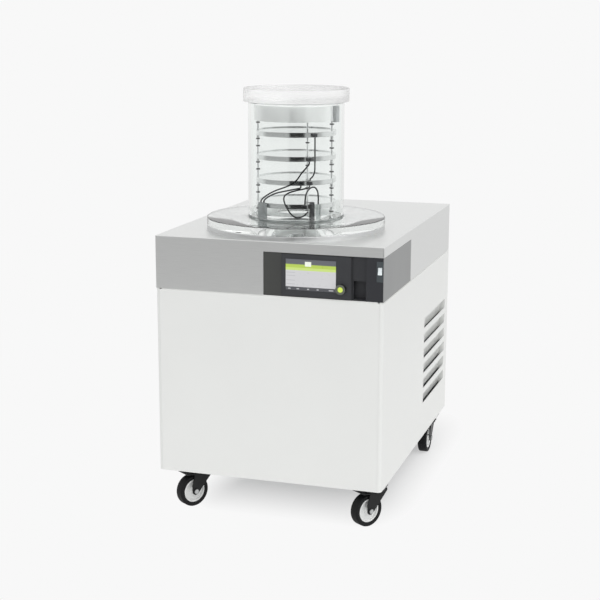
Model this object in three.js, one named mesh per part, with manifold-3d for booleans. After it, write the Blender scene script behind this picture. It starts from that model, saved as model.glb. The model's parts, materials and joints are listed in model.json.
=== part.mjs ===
// A laboratory freeze dryer on castors. A white sheet-steel cabinet with louvred sides carries a
// stainless worktop hood with a control fascia. On the worktop a clear drying chamber stands over
// the ice condenser and holds a rack of four heated shelves, each wired to sockets on its base.
// Millimetres, +Z up, front towards -Y. The origin is on the floor under the cabinet's middle.

import * as THREE from "three";
import { mergeVertices } from "three/addons/utils/BufferGeometryUtils.js";
import Module from "manifold-3d";

const wasm = await Module();
wasm.setup();

// ---- Driving dimensions ----

const clearance = 0.3; // between pieces that fit into or behind each other
const overlap = 0.2; // how far two features of one sheet run into each other before they are joined

const cabinet = { width: 720, depth: 965, height: 585, sheet: 2, cornerRadius: 12, flange: 18 };
const tray = { sheet: 2.5, rim: 28 };
const stiffener = { width: 60, height: 12, spacing: 316 }; // two, welded along the floor pan
const seam = { height: 3, railHeight: 16 }; // shadow joint between the cabinet and the hood

const louvre = { count: 6, length: 342, height: 33, pitch: 52.3, sheet: 1.5 };
const louvreFold = { depth: 20, drop: 18, lap: 15 }; // each slopes inwards, then hangs down
const louvreSetback = 47; // from the cabinet's back to the louvres' rear end
const louvreRise = 118.5; // from the cabinet's underside up to the lowest louvre's slit

const hood = { height: 163, sheet: 2, cornerRadius: 4, lip: 31, topEdge: 1.5 };
const trim = { length: 350, thickness: 2.3, tongue: 12, tongueRoot: 20 };

// The fascia and what it holds, placed from its right end, its top or its bottom.
const fascia = { width: 368, thickness: 3, setback: 1.5, flangeDepth: 16, flange: 2, topGap: 0.8 };
const display = { width: 215, margin: 2.5, proud: 1, depth: 6, rebate: 2, edge: 1 };
const screen = { left: 13.5, right: 46, top: 13.7, bottom: 18.2, thickness: 1.5 }; // its margins
const recess = { width: 43, depth: 4, wall: 2 };
const pocket = { width: 37, right: 2.5, bottom: 3.7, height: 55, depth: 16, wall: 2 };
const knob = { right: 29.5, bottom: 30.2, radius: 15.2, flutes: 16, fluteDepth: 0.6, shaft: 3.2 };
const knobButton = { radius: 8, thickness: 4.2, proud: 0.7, travel: 1.2 };
const switchFrame = { width: 19.5, right: 0.4, top: 10.2, height: 61, rim: 1.5, proud: 1.5, depth: 9 };
const switchGap = 31; // between the recess and the switch
const rocker = { width: 12.5, height: 22, rise: 1.5, tilt: 10, depth: 7, valley: 1.4, end: 60 };

const seatRing = { radius: 281, inner: 128, height: 14, edge: 2, frontMargin: 8 };
const basePlate = { thickness: 24, ledge: 19, edge: 3 }; // the ledge is left inside the rack's feet
const tube = { radius: 150, wall: 8, headroom: 5.2 };
const seal = { thickness: 3, lap: 1 };
const lid = { overhang: 15, thickness: 42, edge: 5, spigot: 5 };

const shelf = { sideGap: 17, height: 15, rim: 3, rimWall: 2, notch: 3.6 };
const shelfStack = { first: 89, pitch: 73, count: 4 }; // the lowest shelf's top above the worktop
const shelfPlugs = [[-47.5], [-55], [-54, -66], [-61]]; // angle of each shelf's cable sockets
const plug = { width: 15, height: 11, inset: 3, reach: 10, drop: 2 };
const rack = { rodInset: 3, rod: 3, baseLevel: 50, baseThickness: 3, baseOpening: 60, foot: 7 };
const rodAngles = [190, 90, -10];
const sleeve = { radius: 5, collar: 6.5, collarHeight: 4, below: 17, above: 23 };
const rackCover = { overhang: 6, rise: 78, skirt: 47, sheet: 1.5 }; // rise over the top shelf
const catchBlock = { angle: -10, reach: 9, width: 24, height: 50 }; // on the cover's right side

const socketGap = 2.5; // between the sockets and the shelves, and between them and the tube
const sockets = {
  connector_left: { angle: -122, width: 30, height: 52, slot: 2 },
  connector_right: { angle: -42.5, width: 12, height: 51, slot: 0 },
  bus_plug: { angle: -51.5, width: 14, height: 59, slot: 0 },
};
const cable = { diameter: 4.5, sides: 8, stepDiameters: 3 };

const vessel = { wall: 3, depth: 330, corner: 30, flange: 34, flangeThickness: 4 };
const compressor = { radius: 88, height: 205, foot: 6, bend: 12, dome: 48, backMargin: 144.5 };
const pipeStubs = [
  { radius: 6, length: 34, aside: 24, rise: 90 },
  { radius: 9, length: 26, aside: -30, rise: 60 },
];
const radiator = { length: 330, thickness: 44, height: 300, setback: 34, raise: 24 };
const fins = { count: 9, thickness: 3, core: 20, coreInset: 8, endPlate: 4 };
const fan = { radius: 112, tipGap: 5, hub: 32, blades: 6, depth: 26, sheet: 2, rootAngle: 48, twist: 22 };
const fanMotor = { radius: 30, length: 38, shaft: 4, gap: 10, strut: 26, strutSheet: 6 };

const port = { left: 180, rise: 175, bore: 12.5, pipe: 15, collar: 26, flange: 20, length: 26, lip: 3 };
const inlet = { right: 170, rise: 95, width: 50, height: 28, proud: 3, depth: 22, cavity: 16, wall: 4 };
const contact = { width: 2, height: 4, pitch: 7, earthRise: 3, drop: 2, recess: 5 };
const rearVent = { right: 170, rise: 305, count: 9, width: 7, height: 130, pitch: 18 };
const reach = 14; // how far the knob stands out in front, and the port behind

const castor = { leftInset: 110, rightInset: 38, frontInset: 72, rearInset: 128, trail: 32 };
const castorTurns = { front_left: -35, front_right: -35, rear_left: 0, rear_right: 0 };
const wheel = { radius: 51, width: 32, tyre: 13.5, shoulder: 5, boss: 11, rim: 4.5, web: 12, chamfer: 2 };
const topPlate = { size: 76, thickness: 3, corner: 8, race: 27, raceHeight: 8 };
const kingPin = { radius: 6, nut: 9, nutHeight: 6 };
const fork = { crown: 34, sheet: 5, wheelGap: 6.4, cheek: 3, sideGap: 3, tip: 12, axle: 4 };
const bolt = { head: 8, length: 5 };
const leaf = { width: 72, inner: 28.3, outer: 71.5, thickness: 3.2, rise: 4.8 }; // over the wheel
const pedal = { width: 26, pin: 3, barrel: 5.5, tyreGap: 20.4, crownGap: 1.9, notch: 8, sideGap: 2 };

// ---- Derived places ----

const halfWidth = cabinet.width / 2;
const front = -cabinet.depth / 2;
const back = cabinet.depth / 2;
const crownTop = 2 * wheel.radius + fork.wheelGap + fork.sheet;
const castorHeight = crownTop + topPlate.raceHeight + topPlate.thickness + 2 * clearance;
const cabinetTop = castorHeight + cabinet.height;
const hoodTop = cabinetTop + hood.height;
const lipEdge = hoodTop - hood.lip;
const chamberY = front + seatRing.radius + seatRing.frontMargin;

// ---- Materials ----

function finish(colour, roughness, metalness = 0, opacity = 1) {
  const transparent = opacity < 1;
  return new THREE.MeshStandardMaterial({ color: colour, roughness, metalness, opacity, transparent });
}

const white = finish(0xe9eae8, 0.45);
const stainless = finish(0xc4c5c6, 0.3, 1);
const greyPaint = finish(0xa2a2a3, 0.5);
const darkPlastic = finish(0x3f4044, 0.45);
const blackPlastic = finish(0x222325, 0.5);
const screenGlass = finish(0xd9dadb, 0.1);
const lime = finish(0xc5da45, 0.35);
const switchWhite = finish(0xe8eef0, 0.35);
const acrylic = finish(0xf4f8f8, 0.05, 0, 0.3);
const silicone = finish(0xd8dcdc, 0.6);
const shelfSteel = finish(0x9a9c9d, 0.35, 1);
const greyPlastic = finish(0x8d9092, 0.5);
const cableBlack = finish(0x1d1d1f, 0.6);
const zinc = finish(0xb4b6b6, 0.4, 1);
const forkBlack = finish(0x2b2c2e, 0.5);
const tyreBlack = finish(0x242527, 0.8);
const hubGrey = finish(0xdcdddd, 0.5);
const compressorBlack = finish(0x1f2022, 0.4);
const aluminium = finish(0xc9cbcd, 0.35, 1);

// ---- Solids ----

// A closed geometry as a solid that can be joined and cut.
function solidOf(geometry) {
  const bare = geometry.clone();
  bare.deleteAttribute("normal");
  bare.deleteAttribute("uv");
  const merged = mergeVertices(bare, 1e-3);
  const vertProperties = merged.attributes.position.array;
  const triVerts = new Uint32Array(merged.index.array);
  return new wasm.Manifold(new wasm.Mesh({ numProp: 3, vertProperties, triVerts }));
}

function geometryOf(solid) {
  const { vertProperties, triVerts } = solid.getMesh();
  const indexed = new THREE.BufferGeometry();
  indexed.setAttribute("position", new THREE.BufferAttribute(vertProperties, 3));
  indexed.setIndex(new THREE.BufferAttribute(triVerts, 1));
  const geometry = indexed.toNonIndexed();
  geometry.computeVertexNormals();
  return geometry;
}

function join(...pieces) {
  return geometryOf(pieces.map(solidOf).reduce((whole, piece) => whole.add(piece)));
}

function cut(body, ...tools) {
  return geometryOf(tools.map(solidOf).reduce((rest, tool) => rest.subtract(tool), solidOf(body)));
}

// ---- Shapes ----

// A box between two values on each axis.
function block([x0, x1], [y0, y1], [z0, z1]) {
  const box = new THREE.BoxGeometry(x1 - x0, y1 - y0, z1 - z0);
  return box.translate((x0 + x1) / 2, (y0 + y1) / 2, (z0 + z1) / 2);
}

// A flat outline raised along +Z.
function prism(outline, z0, z1, holes = []) {
  const shape = outline.isShape ? outline : new THREE.Shape(outline);
  shape.holes.push(...holes);
  const solid = new THREE.ExtrudeGeometry(shape, { depth: z1 - z0, bevelEnabled: false });
  return solid.translate(0, 0, z0);
}

// An outline drawn in the YZ plane, extruded along X.
function sidePrism(outline, x0, x1) {
  return prism(outline, x0, x1).applyMatrix4(
    new THREE.Matrix4().set(0, 0, 1, 0, 1, 0, 0, 0, 0, 1, 0, 0, 0, 0, 0, 1),
  );
}

// An outline drawn in the XZ plane, extruded along Y.
function frontPrism(outline, y0, y1) {
  return prism(outline, -y1, -y0).rotateX(Math.PI / 2);
}

// Points of an arc, angles in degrees.
function arc(x, y, radius, from, to, steps) {
  return Array.from({ length: steps + 1 }, (_, i) => {
    const angle = THREE.MathUtils.degToRad(from + ((to - from) * i) / steps);
    return new THREE.Vector2(x + radius * Math.cos(angle), y + radius * Math.sin(angle));
  });
}

function roundedOutline(width, depth, radius, steps = 4) {
  const x = width / 2 - radius;
  const y = depth / 2 - radius;
  return [
    ...arc(x, -y, radius, -90, 0, steps),
    ...arc(x, y, radius, 0, 90, steps),
    ...arc(-x, y, radius, 90, 180, steps),
    ...arc(-x, -y, radius, 180, 270, steps),
  ];
}

// A profile of [radius, height] pairs turned about +Z. It is closed along the axis or on itself.
function turned(profile, segments = 48) {
  const points = profile.map(([radius, height]) => new THREE.Vector2(radius, height));
  if (THREE.ShapeUtils.area(points) < 0) points.reverse();
  points.push(points[0].clone());
  return new THREE.LatheGeometry(points, segments).rotateX(Math.PI / 2);
}

function ring(outer, inner, z0, z1, segments = 48) {
  return turned([[inner, z0], [outer, z0], [outer, z1], [inner, z1]], segments);
}

// A range of a given size about a middle.
const spread = (middle, size) => [middle - size / 2, middle + size / 2];

function cylinder(radius, z0, z1, segments = 24) {
  return turned([[0, z0], [radius, z0], [radius, z1], [0, z1]], segments);
}

// Turns a solid made along +Z so that it lies along +X or +Y.
const alongX = (geometry) => geometry.rotateY(Math.PI / 2);
const alongY = (geometry) => geometry.rotateX(-Math.PI / 2);

// Where a point at a radius and an angle in degrees lies.
function polar(radius, angle) {
  const turn = THREE.MathUtils.degToRad(angle);
  return [radius * Math.cos(turn), radius * Math.sin(turn)];
}

// A block whose middle stands at a radius and an angle, its width across the radius.
function radialBlock(inner, outer, width, angle, z0, z1) {
  return block([inner, outer], [-width / 2, width / 2], [z0, z1]).rotateZ(
    THREE.MathUtils.degToRad(angle),
  );
}

const freezeDryer = new THREE.Group();

function add(parent, name, geometry, material) {
  const mesh = new THREE.Mesh(geometry, material);
  mesh.name = name;
  parent.add(mesh);
  return mesh;
}

// ---- Cabinet ----

// The folded floor pan that carries everything, with two stiffeners welded along it.
function baseTray() {
  const sideInset = cabinet.sheet + clearance;
  const depth = cabinet.depth - 3 * cabinet.sheet - 3 * clearance;
  const width = cabinet.width - 2 * sideInset;
  const radius = cabinet.cornerRadius - sideInset;
  const shift = front + sideInset + depth / 2;
  const floor = castorHeight + tray.sheet;
  const pan = prism(roundedOutline(width, depth, radius), castorHeight, castorHeight + tray.rim);
  const inside = roundedOutline(width - 2 * tray.sheet, depth - 2 * tray.sheet, radius - tray.sheet);
  const hollow = prism(inside, floor, castorHeight + tray.rim + 1);
  const stiffeners = [-1, 1].map((side) => {
    const x = (side * stiffener.spacing) / 2;
    const length = depth - 2 * tray.rim;
    const top = floor + stiffener.height;
    const channel = block(spread(x, stiffener.width), spread(0, length), [floor - overlap, top]);
    const width = stiffener.width - 2 * tray.sheet;
    return cut(channel, block(spread(x, width), spread(0, length + 2), [floor, top - tray.sheet]));
  });
  return join(cut(pan, hollow), ...stiffeners).translate(0, shift, 0);
}

const panelTop = cabinetTop - seam.height;
const railTop = cabinetTop - clearance;
const louvreRange = [back - louvreSetback - louvre.length, back - louvreSetback];

// The plan of a side panel's wall: it wraps the front corner and ends in a flange at the back.
function sideOutline(side, thickness, inset, flange) {
  const radius = cabinet.cornerRadius;
  const outer = halfWidth - inset;
  const cornerX = halfWidth - radius;
  const cornerY = front + radius;
  const flangeBack = back - cabinet.sheet - clearance;
  const end = flange ? back : flangeBack - clearance;
  const outline = [
    ...arc(cornerX, cornerY, radius - inset, -90, 0, 5),
    new THREE.Vector2(outer, end),
    new THREE.Vector2(outer - thickness, end),
  ];
  if (flange) {
    outline.push(
      new THREE.Vector2(outer - thickness, flangeBack),
      new THREE.Vector2(outer - flange, flangeBack),
      new THREE.Vector2(outer - flange, flangeBack - cabinet.sheet),
      new THREE.Vector2(outer - thickness, flangeBack - cabinet.sheet),
    );
  }
  outline.push(...arc(cornerX, cornerY, radius - inset - thickness, 0, -90, 5));
  return outline.map((point) => new THREE.Vector2(point.x * side, point.y));
}

// One louvre in the XZ plane, from its upper edge on the panel's outer face: its sheet slopes inwards
// and then hangs down behind the strip below. With sheet 0 it is the hollow, which is open below.
function louvreOutline(side, sheet) {
  const { depth, drop, lap } = louvreFold;
  const slope = drop / depth;
  const rise = sheet * Math.hypot(1, slope);
  const spare = sheet ? 0 : overlap;
  const stripBack = overlap - spare - cabinet.sheet;
  const outline = [
    [spare, rise + spare * slope],
    [-depth - sheet, rise - (depth + sheet) * slope],
    [-depth - sheet, -louvre.height - lap - spare],
    [stripBack, -louvre.height - lap - spare],
    [stripBack, -louvre.height],
    [spare, -louvre.height],
  ];
  return outline.map(([x, z]) => new THREE.Vector2(x * side, z));
}

function sidePanel(side) {
  const wall = sideOutline(side, cabinet.sheet, 0, cabinet.flange);
  const rail = sideOutline(side, cabinet.sheet + overlap, cabinet.sheet - overlap, 0);
  const pressed = [
    prism(wall, castorHeight, panelTop),
    prism(rail, railTop - seam.railHeight, railTop),
  ];
  const hollows = [];
  for (let i = 0; i < louvre.count; i += 1) {
    const z = castorHeight + louvreRise + louvre.height + i * louvre.pitch;
    const scoop = frontPrism(louvreOutline(side, louvre.sheet), ...louvreRange);
    const [start, end] = louvreRange;
    const hollow = frontPrism(louvreOutline(side, 0), start + louvre.sheet, end - louvre.sheet);
    pressed.push(scoop.translate(side * halfWidth, 0, z));
    hollows.push(hollow.translate(side * halfWidth, 0, z));
  }
  return cut(join(...pressed), ...hollows);
}

// A flat panel between the side panels, with a rail above its inner face that carries the hood.
function flatPanel(outerFace, inward) {
  const innerFace = outerFace + inward * cabinet.sheet;
  const railFace = innerFace + inward * cabinet.sheet;
  const panelEnd = inward > 0 ? halfWidth - cabinet.cornerRadius : halfWidth - cabinet.sheet;
  const railEnd = halfWidth - cabinet.flange;
  const sorted = (a, b) => [Math.min(a, b), Math.max(a, b)];
  const x = panelEnd - clearance;
  const z = railTop - seam.railHeight;
  return join(
    block([-x, x], sorted(outerFace, innerFace), [castorHeight, panelTop]),
    block(
      [clearance - railEnd, railEnd - clearance],
      sorted(innerFace - inward * overlap, railFace),
      [z, railTop],
    ),
  );
}

function frontPanel() {
  return flatPanel(front, 1);
}

const portX = port.left - halfWidth;
const portZ = castorHeight + port.rise;
const inletX = halfWidth - inlet.right;
const inletZ = castorHeight + inlet.rise;
const inletNeck = { width: inlet.width - 2 * inlet.proud, height: inlet.height - 2 * inlet.proud };

// The rear panel has a vent of upright slots, and holes for the mains inlet and the vacuum port.
function rearPanel() {
  const through = [back - cabinet.sheet - 1, back + 1];
  const ventBottom = castorHeight + rearVent.rise;
  const slots = Array.from({ length: rearVent.count }, (_, i) => {
    const x = halfWidth - rearVent.right + (i - (rearVent.count - 1) / 2) * rearVent.pitch;
    return block(spread(x, rearVent.width), through, [ventBottom, ventBottom + rearVent.height]);
  });
  const inletHole = block(
    spread(inletX, inletNeck.width + 2 * clearance),
    through,
    spread(inletZ, inletNeck.height + 2 * clearance),
  );
  const portHole = alongY(cylinder(port.pipe + clearance, ...through, 20)).translate(portX, 0, portZ);
  return cut(flatPanel(back, -1), ...slots, inletHole, portHole);
}

add(freezeDryer, "base_tray", baseTray(), zinc);
add(freezeDryer, "front_panel", frontPanel(), white);
add(freezeDryer, "left_side_panel", sidePanel(-1), white);
add(freezeDryer, "right_side_panel", sidePanel(1), white);
add(freezeDryer, "rear_panel", rearPanel(), white);

// ---- Worktop hood and its front corner ----

const fasciaFace = front + fascia.setback;
const fasciaEnd = halfWidth - trim.thickness - clearance;
const fasciaStart = fasciaEnd - fascia.width;
const fasciaBottom = cabinetTop + clearance;
const fasciaTop = lipEdge - fascia.topGap;

// What the fascia holds, as ranges across and up, from its right end to the left.
const switchEnd = fasciaEnd - switchFrame.right;
const switchX = [switchEnd - switchFrame.width, switchEnd];
const switchZ = [fasciaTop - switchFrame.top - switchFrame.height, fasciaTop - switchFrame.top];
const recessEnd = switchX[0] - switchGap;
const recessX = [recessEnd - recess.width, recessEnd];
const pocketEnd = recessEnd - pocket.right;
const pocketX = [pocketEnd - pocket.width, pocketEnd];
const pocketZ = [fasciaBottom + pocket.bottom, fasciaBottom + pocket.bottom + pocket.height];
const displayEnd = recessX[0] - display.margin;
const displayX = [displayEnd - display.width, displayEnd];
const displayZ = [fasciaBottom + display.margin, fasciaTop - display.margin];
const displayFace = front - display.proud;
const screenX = [displayX[0] + screen.left, displayEnd - screen.right];
const screenZ = [displayZ[0] + screen.bottom, displayZ[1] - screen.top];
const knobX = displayEnd - knob.right;
const knobHeight = displayZ[0] + knob.bottom;

const middle = ([low, high]) => (low + high) / 2;

// A range made larger at both ends, or smaller where the margin is negative.
const grown = ([low, high], margin) => [low - margin, high + margin];

// A stainless cover folded down on all sides. Its front and right skirts are cut back to a lip
// where the fascia and the grey corner trim fill the corner.
function worktopHood() {
  const { sheet, topEdge, cornerRadius } = hood;
  const shrunk = roundedOutline(
    cabinet.width - 2 * topEdge,
    cabinet.depth - 2 * topEdge,
    cornerRadius - topEdge,
  );
  const outer = new THREE.ExtrudeGeometry(new THREE.Shape(shrunk), {
    depth: hood.height,
    bevelSize: topEdge,
    bevelThickness: topEdge,
    bevelSegments: 1,
  }).translate(0, 0, cabinetTop - topEdge);
  const insideWidth = cabinet.width - 2 * sheet;
  const insideDepth = cabinet.depth - 2 * sheet;
  const inside = roundedOutline(insideWidth, insideDepth, cornerRadius - sheet);
  const skirt = 2 * cornerRadius;
  return cut(
    outer,
    block([-cabinet.width, cabinet.width], [2 * front, 2 * back], [castorHeight, cabinetTop]),
    prism(inside, castorHeight, hoodTop - sheet),
    cylinder(seatRing.inner, cabinetTop, hoodTop + 1, 40).translate(0, chamberY, 0),
    block([fasciaStart, halfWidth + 1], [front - 1, front + skirt], [castorHeight, lipEdge]),
    block([halfWidth - skirt, halfWidth + 1], [front - 1, front + trim.length], [castorHeight, lipEdge]),
  );
}

// The grey cover of the right front corner, with a tongue that slides in behind the hood's skirt.
function cornerTrim() {
  const outer = halfWidth;
  const inner = outer - trim.thickness;
  const height = [fasciaBottom, fasciaTop];
  const end = front + trim.length - clearance;
  const tongue = [end - trim.tongueRoot, end + trim.tongue];
  return join(
    block([inner, outer], [front, end], height),
    block([inner - trim.thickness, inner], tongue, height),
  );
}

// The moulded control panel: a plate with flanges behind it, a window for the display, a set-back
// channel with a deep pocket for plugging in a memory stick, and a hole for the mains switch.
function controlFascia() {
  const { thickness, flange, flangeDepth } = fascia;
  const rear = fasciaFace + thickness;
  const flangeRear = rear + flangeDepth;
  const channelFace = fasciaFace + recess.depth;
  const channelRear = channelFace + thickness;
  const pocketRear = channelRear + pocket.depth;
  const start = fasciaStart + clearance;
  const across = [start, fasciaEnd];
  const height = [fasciaBottom, fasciaTop];
  const depth = [fasciaFace, flangeRear];
  const pocketDepth = [channelRear - overlap, pocketRear + pocket.wall];
  const body = join(
    block(across, [fasciaFace, rear], height),
    block([start, start + flange], depth, height),
    block(across, depth, [fasciaTop - flange, fasciaTop]),
    block(across, depth, [fasciaBottom, fasciaBottom + flange]),
    block(grown(recessX, recess.wall), [rear - overlap, channelRear], height),
    block(grown(pocketX, pocket.wall), pocketDepth, grown(pocketZ, pocket.wall)),
  );
  const through = [fasciaFace - 1, flangeRear + 1];
  return cut(
    body,
    block(recessX, [fasciaFace - 1, channelFace], grown(height, 1)),
    block(pocketX, [fasciaFace, pocketRear], pocketZ),
    block(grown(displayX, clearance), through, grown(displayZ, clearance)),
    block(grown(switchX, clearance - switchFrame.rim), through, grown(switchZ, clearance - switchFrame.rim)),
  );
}

add(freezeDryer, "worktop_hood", worktopHood(), stainless);
add(freezeDryer, "corner_trim", cornerTrim(), greyPaint);
add(freezeDryer, "control_fascia", controlFascia(), darkPlastic);

// ---- Controls ----

// The display's housing, with a rebate for its glass and a hole for the knob's shaft.
function displayBezel() {
  const { width, edge } = display;
  const height = displayZ[1] - displayZ[0];
  const outline = new THREE.Shape(roundedOutline(width - 2 * edge, height - 2 * edge, 1, 2));
  const body = new THREE.ExtrudeGeometry(outline, {
    depth: display.depth - 2 * edge,
    bevelSize: edge,
    bevelThickness: edge,
    bevelSegments: 1,
  }).translate(0, 0, edge);
  const housing = body
    .rotateX(-Math.PI / 2)
    .translate(middle(displayX), displayFace, middle(displayZ));
  const rebate = [displayFace - 1, displayFace + display.rebate];
  const shaftHole = alongY(cylinder(knob.shaft + clearance, -1, display.depth + 1, 12));
  return cut(
    housing,
    block(grown(screenX, clearance), rebate, grown(screenZ, clearance)),
    shaftHole.translate(knobX, displayFace, knobHeight),
  );
}

function displayGlass() {
  const face = displayFace + display.rebate - screen.thickness - clearance;
  return block(screenX, [face, face + screen.thickness], screenZ);
}

const rockerX = spread(middle(switchX), rocker.width);
const rockerHeight = middle(switchZ) + rocker.rise;
const knobBase = displayFace - clearance;
const knobFront = front - reach;
const buttonSeat = knobFront + knobButton.thickness;

// A rotary knob with a fluted grip, a shaft behind it and a bore in front for its push button.
function controlKnob() {
  const points = Array.from({ length: knob.flutes * 3 }, (_, i) => {
    const radius = knob.radius - knob.fluteDepth * (i % 3 === 0 ? 1 : 0);
    return new THREE.Vector2(...polar(radius, (i * 120) / knob.flutes));
  });
  const grip = prism(points, knobFront, knobBase);
  const shaft = cylinder(knob.shaft, knobBase - overlap, displayFace + display.depth, 12);
  const bore = cylinder(
    knobButton.radius + clearance,
    knobFront - 1,
    buttonSeat + knobButton.travel + clearance,
    24,
  );
  return alongY(cut(join(grip, shaft), bore)).translate(knobX, 0, knobHeight);
}

function knobButtonCap() {
  const { radius, thickness, proud } = knobButton;
  const face = knobFront;
  const cap = turned([
    [0, face],
    [radius - proud, face],
    [radius, face + proud],
    [radius, face + thickness],
    [0, face + thickness],
  ], 24);
  return alongY(cap).translate(knobX, 0, knobHeight);
}

function switchFrameBody() {
  const { rim, proud, depth } = switchFrame;
  const face = fasciaFace - proud;
  const rear = fasciaFace + depth;
  const opening = spread(rockerHeight, rocker.height + 6 * clearance);
  return cut(
    join(
      block(switchX, [face, fasciaFace - clearance], switchZ),
      block(grown(switchX, -rim), [face, rear], grown(switchZ, -rim)),
    ),
    block(grown(rockerX, clearance), [face - 1, rear + 1], opening),
  );
}

// A rocker whose front is two faces in a shallow valley. At rest its upper half is pressed in.
function rockerBody() {
  const half = rocker.height / 2;
  const outline = [
    new THREE.Vector2(-rocker.valley, -half),
    new THREE.Vector2(0, 0),
    new THREE.Vector2(-rocker.valley, half),
    ...arc(rocker.depth - half, 0, half, rocker.end, -rocker.end, 8),
  ];
  return sidePrism(outline, ...rockerX);
}

add(freezeDryer, "display_bezel", displayBezel(), blackPlastic);
add(freezeDryer, "display_glass", displayGlass(), screenGlass);
add(freezeDryer, "control_knob", controlKnob(), blackPlastic);
add(freezeDryer, "knob_button", knobButtonCap(), lime);
add(freezeDryer, "switch_frame", switchFrameBody(), blackPlastic);

const rockerPivot = new THREE.Group();
rockerPivot.position.set(0, fasciaFace, rockerHeight);
rockerPivot.rotation.x = THREE.MathUtils.degToRad(-rocker.tilt);
freezeDryer.add(rockerPivot);
add(rockerPivot, "rocker_switch", rockerBody(), switchWhite);

// ---- Drying chamber ----

const chamber = new THREE.Group();
chamber.position.set(0, chamberY, hoodTop);
freezeDryer.add(chamber);

const plateTop = seatRing.height + basePlate.thickness;
const shelfLevels = Array.from(
  { length: shelfStack.count },
  (_, i) => shelfStack.first + (shelfStack.count - 1 - i) * shelfStack.pitch,
); // top of each shelf, from the top shelf down
const coverLevel = shelfLevels[0] + rackCover.rise;
const coverTop = coverLevel + clearance + rackCover.sheet;
const tubeBottom = plateTop + seal.thickness;
const tubeTop = coverTop + tube.headroom;
const lidBottom = tubeTop + seal.thickness;
const lidTop = lidBottom + lid.thickness;
const lidRadius = tube.radius + lid.overhang;
const tubeInner = tube.radius - tube.wall;
const shelfRadius = tubeInner - shelf.sideGap;
const rodCircle = shelfRadius - rack.rodInset;
const plateOpening = rodCircle - rack.foot - basePlate.ledge;
const plateSegments = 40;
const tubeSegments = 36;

function seatRingBody() {
  const { radius, inner, height, edge } = seatRing;
  return turned([
    [inner, 0],
    [radius, 0],
    [radius, height - edge],
    [radius - edge, height],
    [inner, height],
  ], plateSegments);
}

// The thick clear plate under the tube, open in the middle over the ice condenser.
function basePlateBody() {
  const { edge } = basePlate;
  const { radius } = seatRing;
  const rim = arc(radius - edge, plateTop - edge, edge, 0, 90, 2).map((point) => [point.x, point.y]);
  return turned([
    [plateOpening, seatRing.height],
    [radius, seatRing.height],
    ...rim,
    [plateOpening, plateTop],
  ], plateSegments);
}

// A flat gasket with a low bead on both edges, under or over the tube's end.
function gasket(level) {
  return ring(tube.radius + seal.lap, tubeInner - seal.lap, level, level + seal.thickness, tubeSegments);
}

function lidBody() {
  const { edge, spigot } = lid;
  const rim = arc(lidRadius - edge, lidTop - edge, edge, 0, 90, 2).map((point) => [point.x, point.y]);
  const spigotRadius = tubeInner - seal.lap - clearance;
  return turned([
    [0, lidBottom - spigot],
    [spigotRadius, lidBottom - spigot],
    [spigotRadius, lidBottom],
    [lidRadius, lidBottom],
    ...rim,
    [0, lidTop],
  ], tubeSegments);
}

add(chamber, "seat_ring", seatRingBody(), stainless);
add(chamber, "chamber_base_plate", basePlateBody(), acrylic);
add(chamber, "base_seal", gasket(plateTop), silicone);
add(chamber, "chamber_tube", ring(tube.radius, tubeInner, tubeBottom, tubeTop, tubeSegments), acrylic);
add(chamber, "tube_seal", gasket(tubeTop), silicone);
add(chamber, "chamber_lid", lidBody(), acrylic);

// ---- Shelf rack ----

const rackSegments = 26;

// A ring on three feet, with three rods rising from it. On each rod a sleeve between two collars
// surrounds every shelf's edge, and its lower half carries the shelf on its end.
function rackFrame() {
  const { rod, foot, baseLevel, baseThickness, baseOpening } = rack;
  const { radius, collar, collarHeight, below, above } = sleeve;
  const profile = [[0, plateTop], [foot, plateTop], [foot, plateTop + collarHeight]];
  profile.push([rod, plateTop + collarHeight]);
  for (const level of [...shelfLevels].reverse()) {
    const seat = level - shelf.height;
    profile.push(
      [rod, seat - below],
      [collar, seat - below],
      [collar, seat - below + collarHeight],
      [radius, seat - below + collarHeight],
      [radius, seat],
      [rod, seat],
      [rod, level + above - collarHeight],
      [collar, level + above - collarHeight],
      [collar, level + above],
      [rod, level + above],
    );
  }
  profile.push([rod, coverLevel], [0, coverLevel]);
  const rods = rodAngles.map((angle) => {
    const [x, y] = polar(rodCircle, angle);
    return turned(profile, 6).translate(x, y, 0);
  });
  const baseTop = baseLevel + baseThickness;
  return join(ring(shelfRadius, baseOpening, baseLevel, baseTop, rackSegments), ...rods);
}

// A heated shelf: a plate with a raised rim, notched for the rods, and its cable sockets.
function shelfBody(level, angles) {
  const { height, rim, rimWall, notch } = shelf;
  const radius = shelfRadius;
  const bottom = level - height;
  const plate = turned([
    [0, bottom],
    [radius, bottom],
    [radius, level],
    [radius - rimWall, level],
    [radius - rimWall, level - rim],
    [0, level - rim],
  ], rackSegments);
  const plugs = angles.map((angle) =>
    radialBlock(
      radius - plug.inset,
      radius + plug.reach,
      plug.width,
      angle,
      bottom + plug.drop,
      bottom + plug.drop + plug.height,
    ),
  );
  const notches = rodAngles.map((angle) => {
    const [x, y] = polar(rodCircle, angle);
    return cylinder(notch, bottom - 1, level + 1, 10).translate(x, y, 0);
  });
  return cut(join(plate, ...plugs), ...notches);
}

// The cover over the top shelf: a light pan turned upside down that rests on the rods' ends, with a
// catch block on its right side.
function rackCoverBody() {
  const { overhang, skirt, sheet } = rackCover;
  const radius = shelfRadius + overhang;
  const bottom = coverLevel - skirt;
  const underside = coverLevel + clearance;
  const pan = turned([
    [0, underside],
    [radius - sheet, underside],
    [radius - sheet, bottom],
    [radius, bottom],
    [radius, coverTop],
    [0, coverTop],
  ], rackSegments);
  const { angle, reach: out, width, height } = catchBlock;
  const low = coverLevel - height;
  return join(pan, radialBlock(radius - sheet, radius + out, width, angle, low, coverLevel));
}

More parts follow.
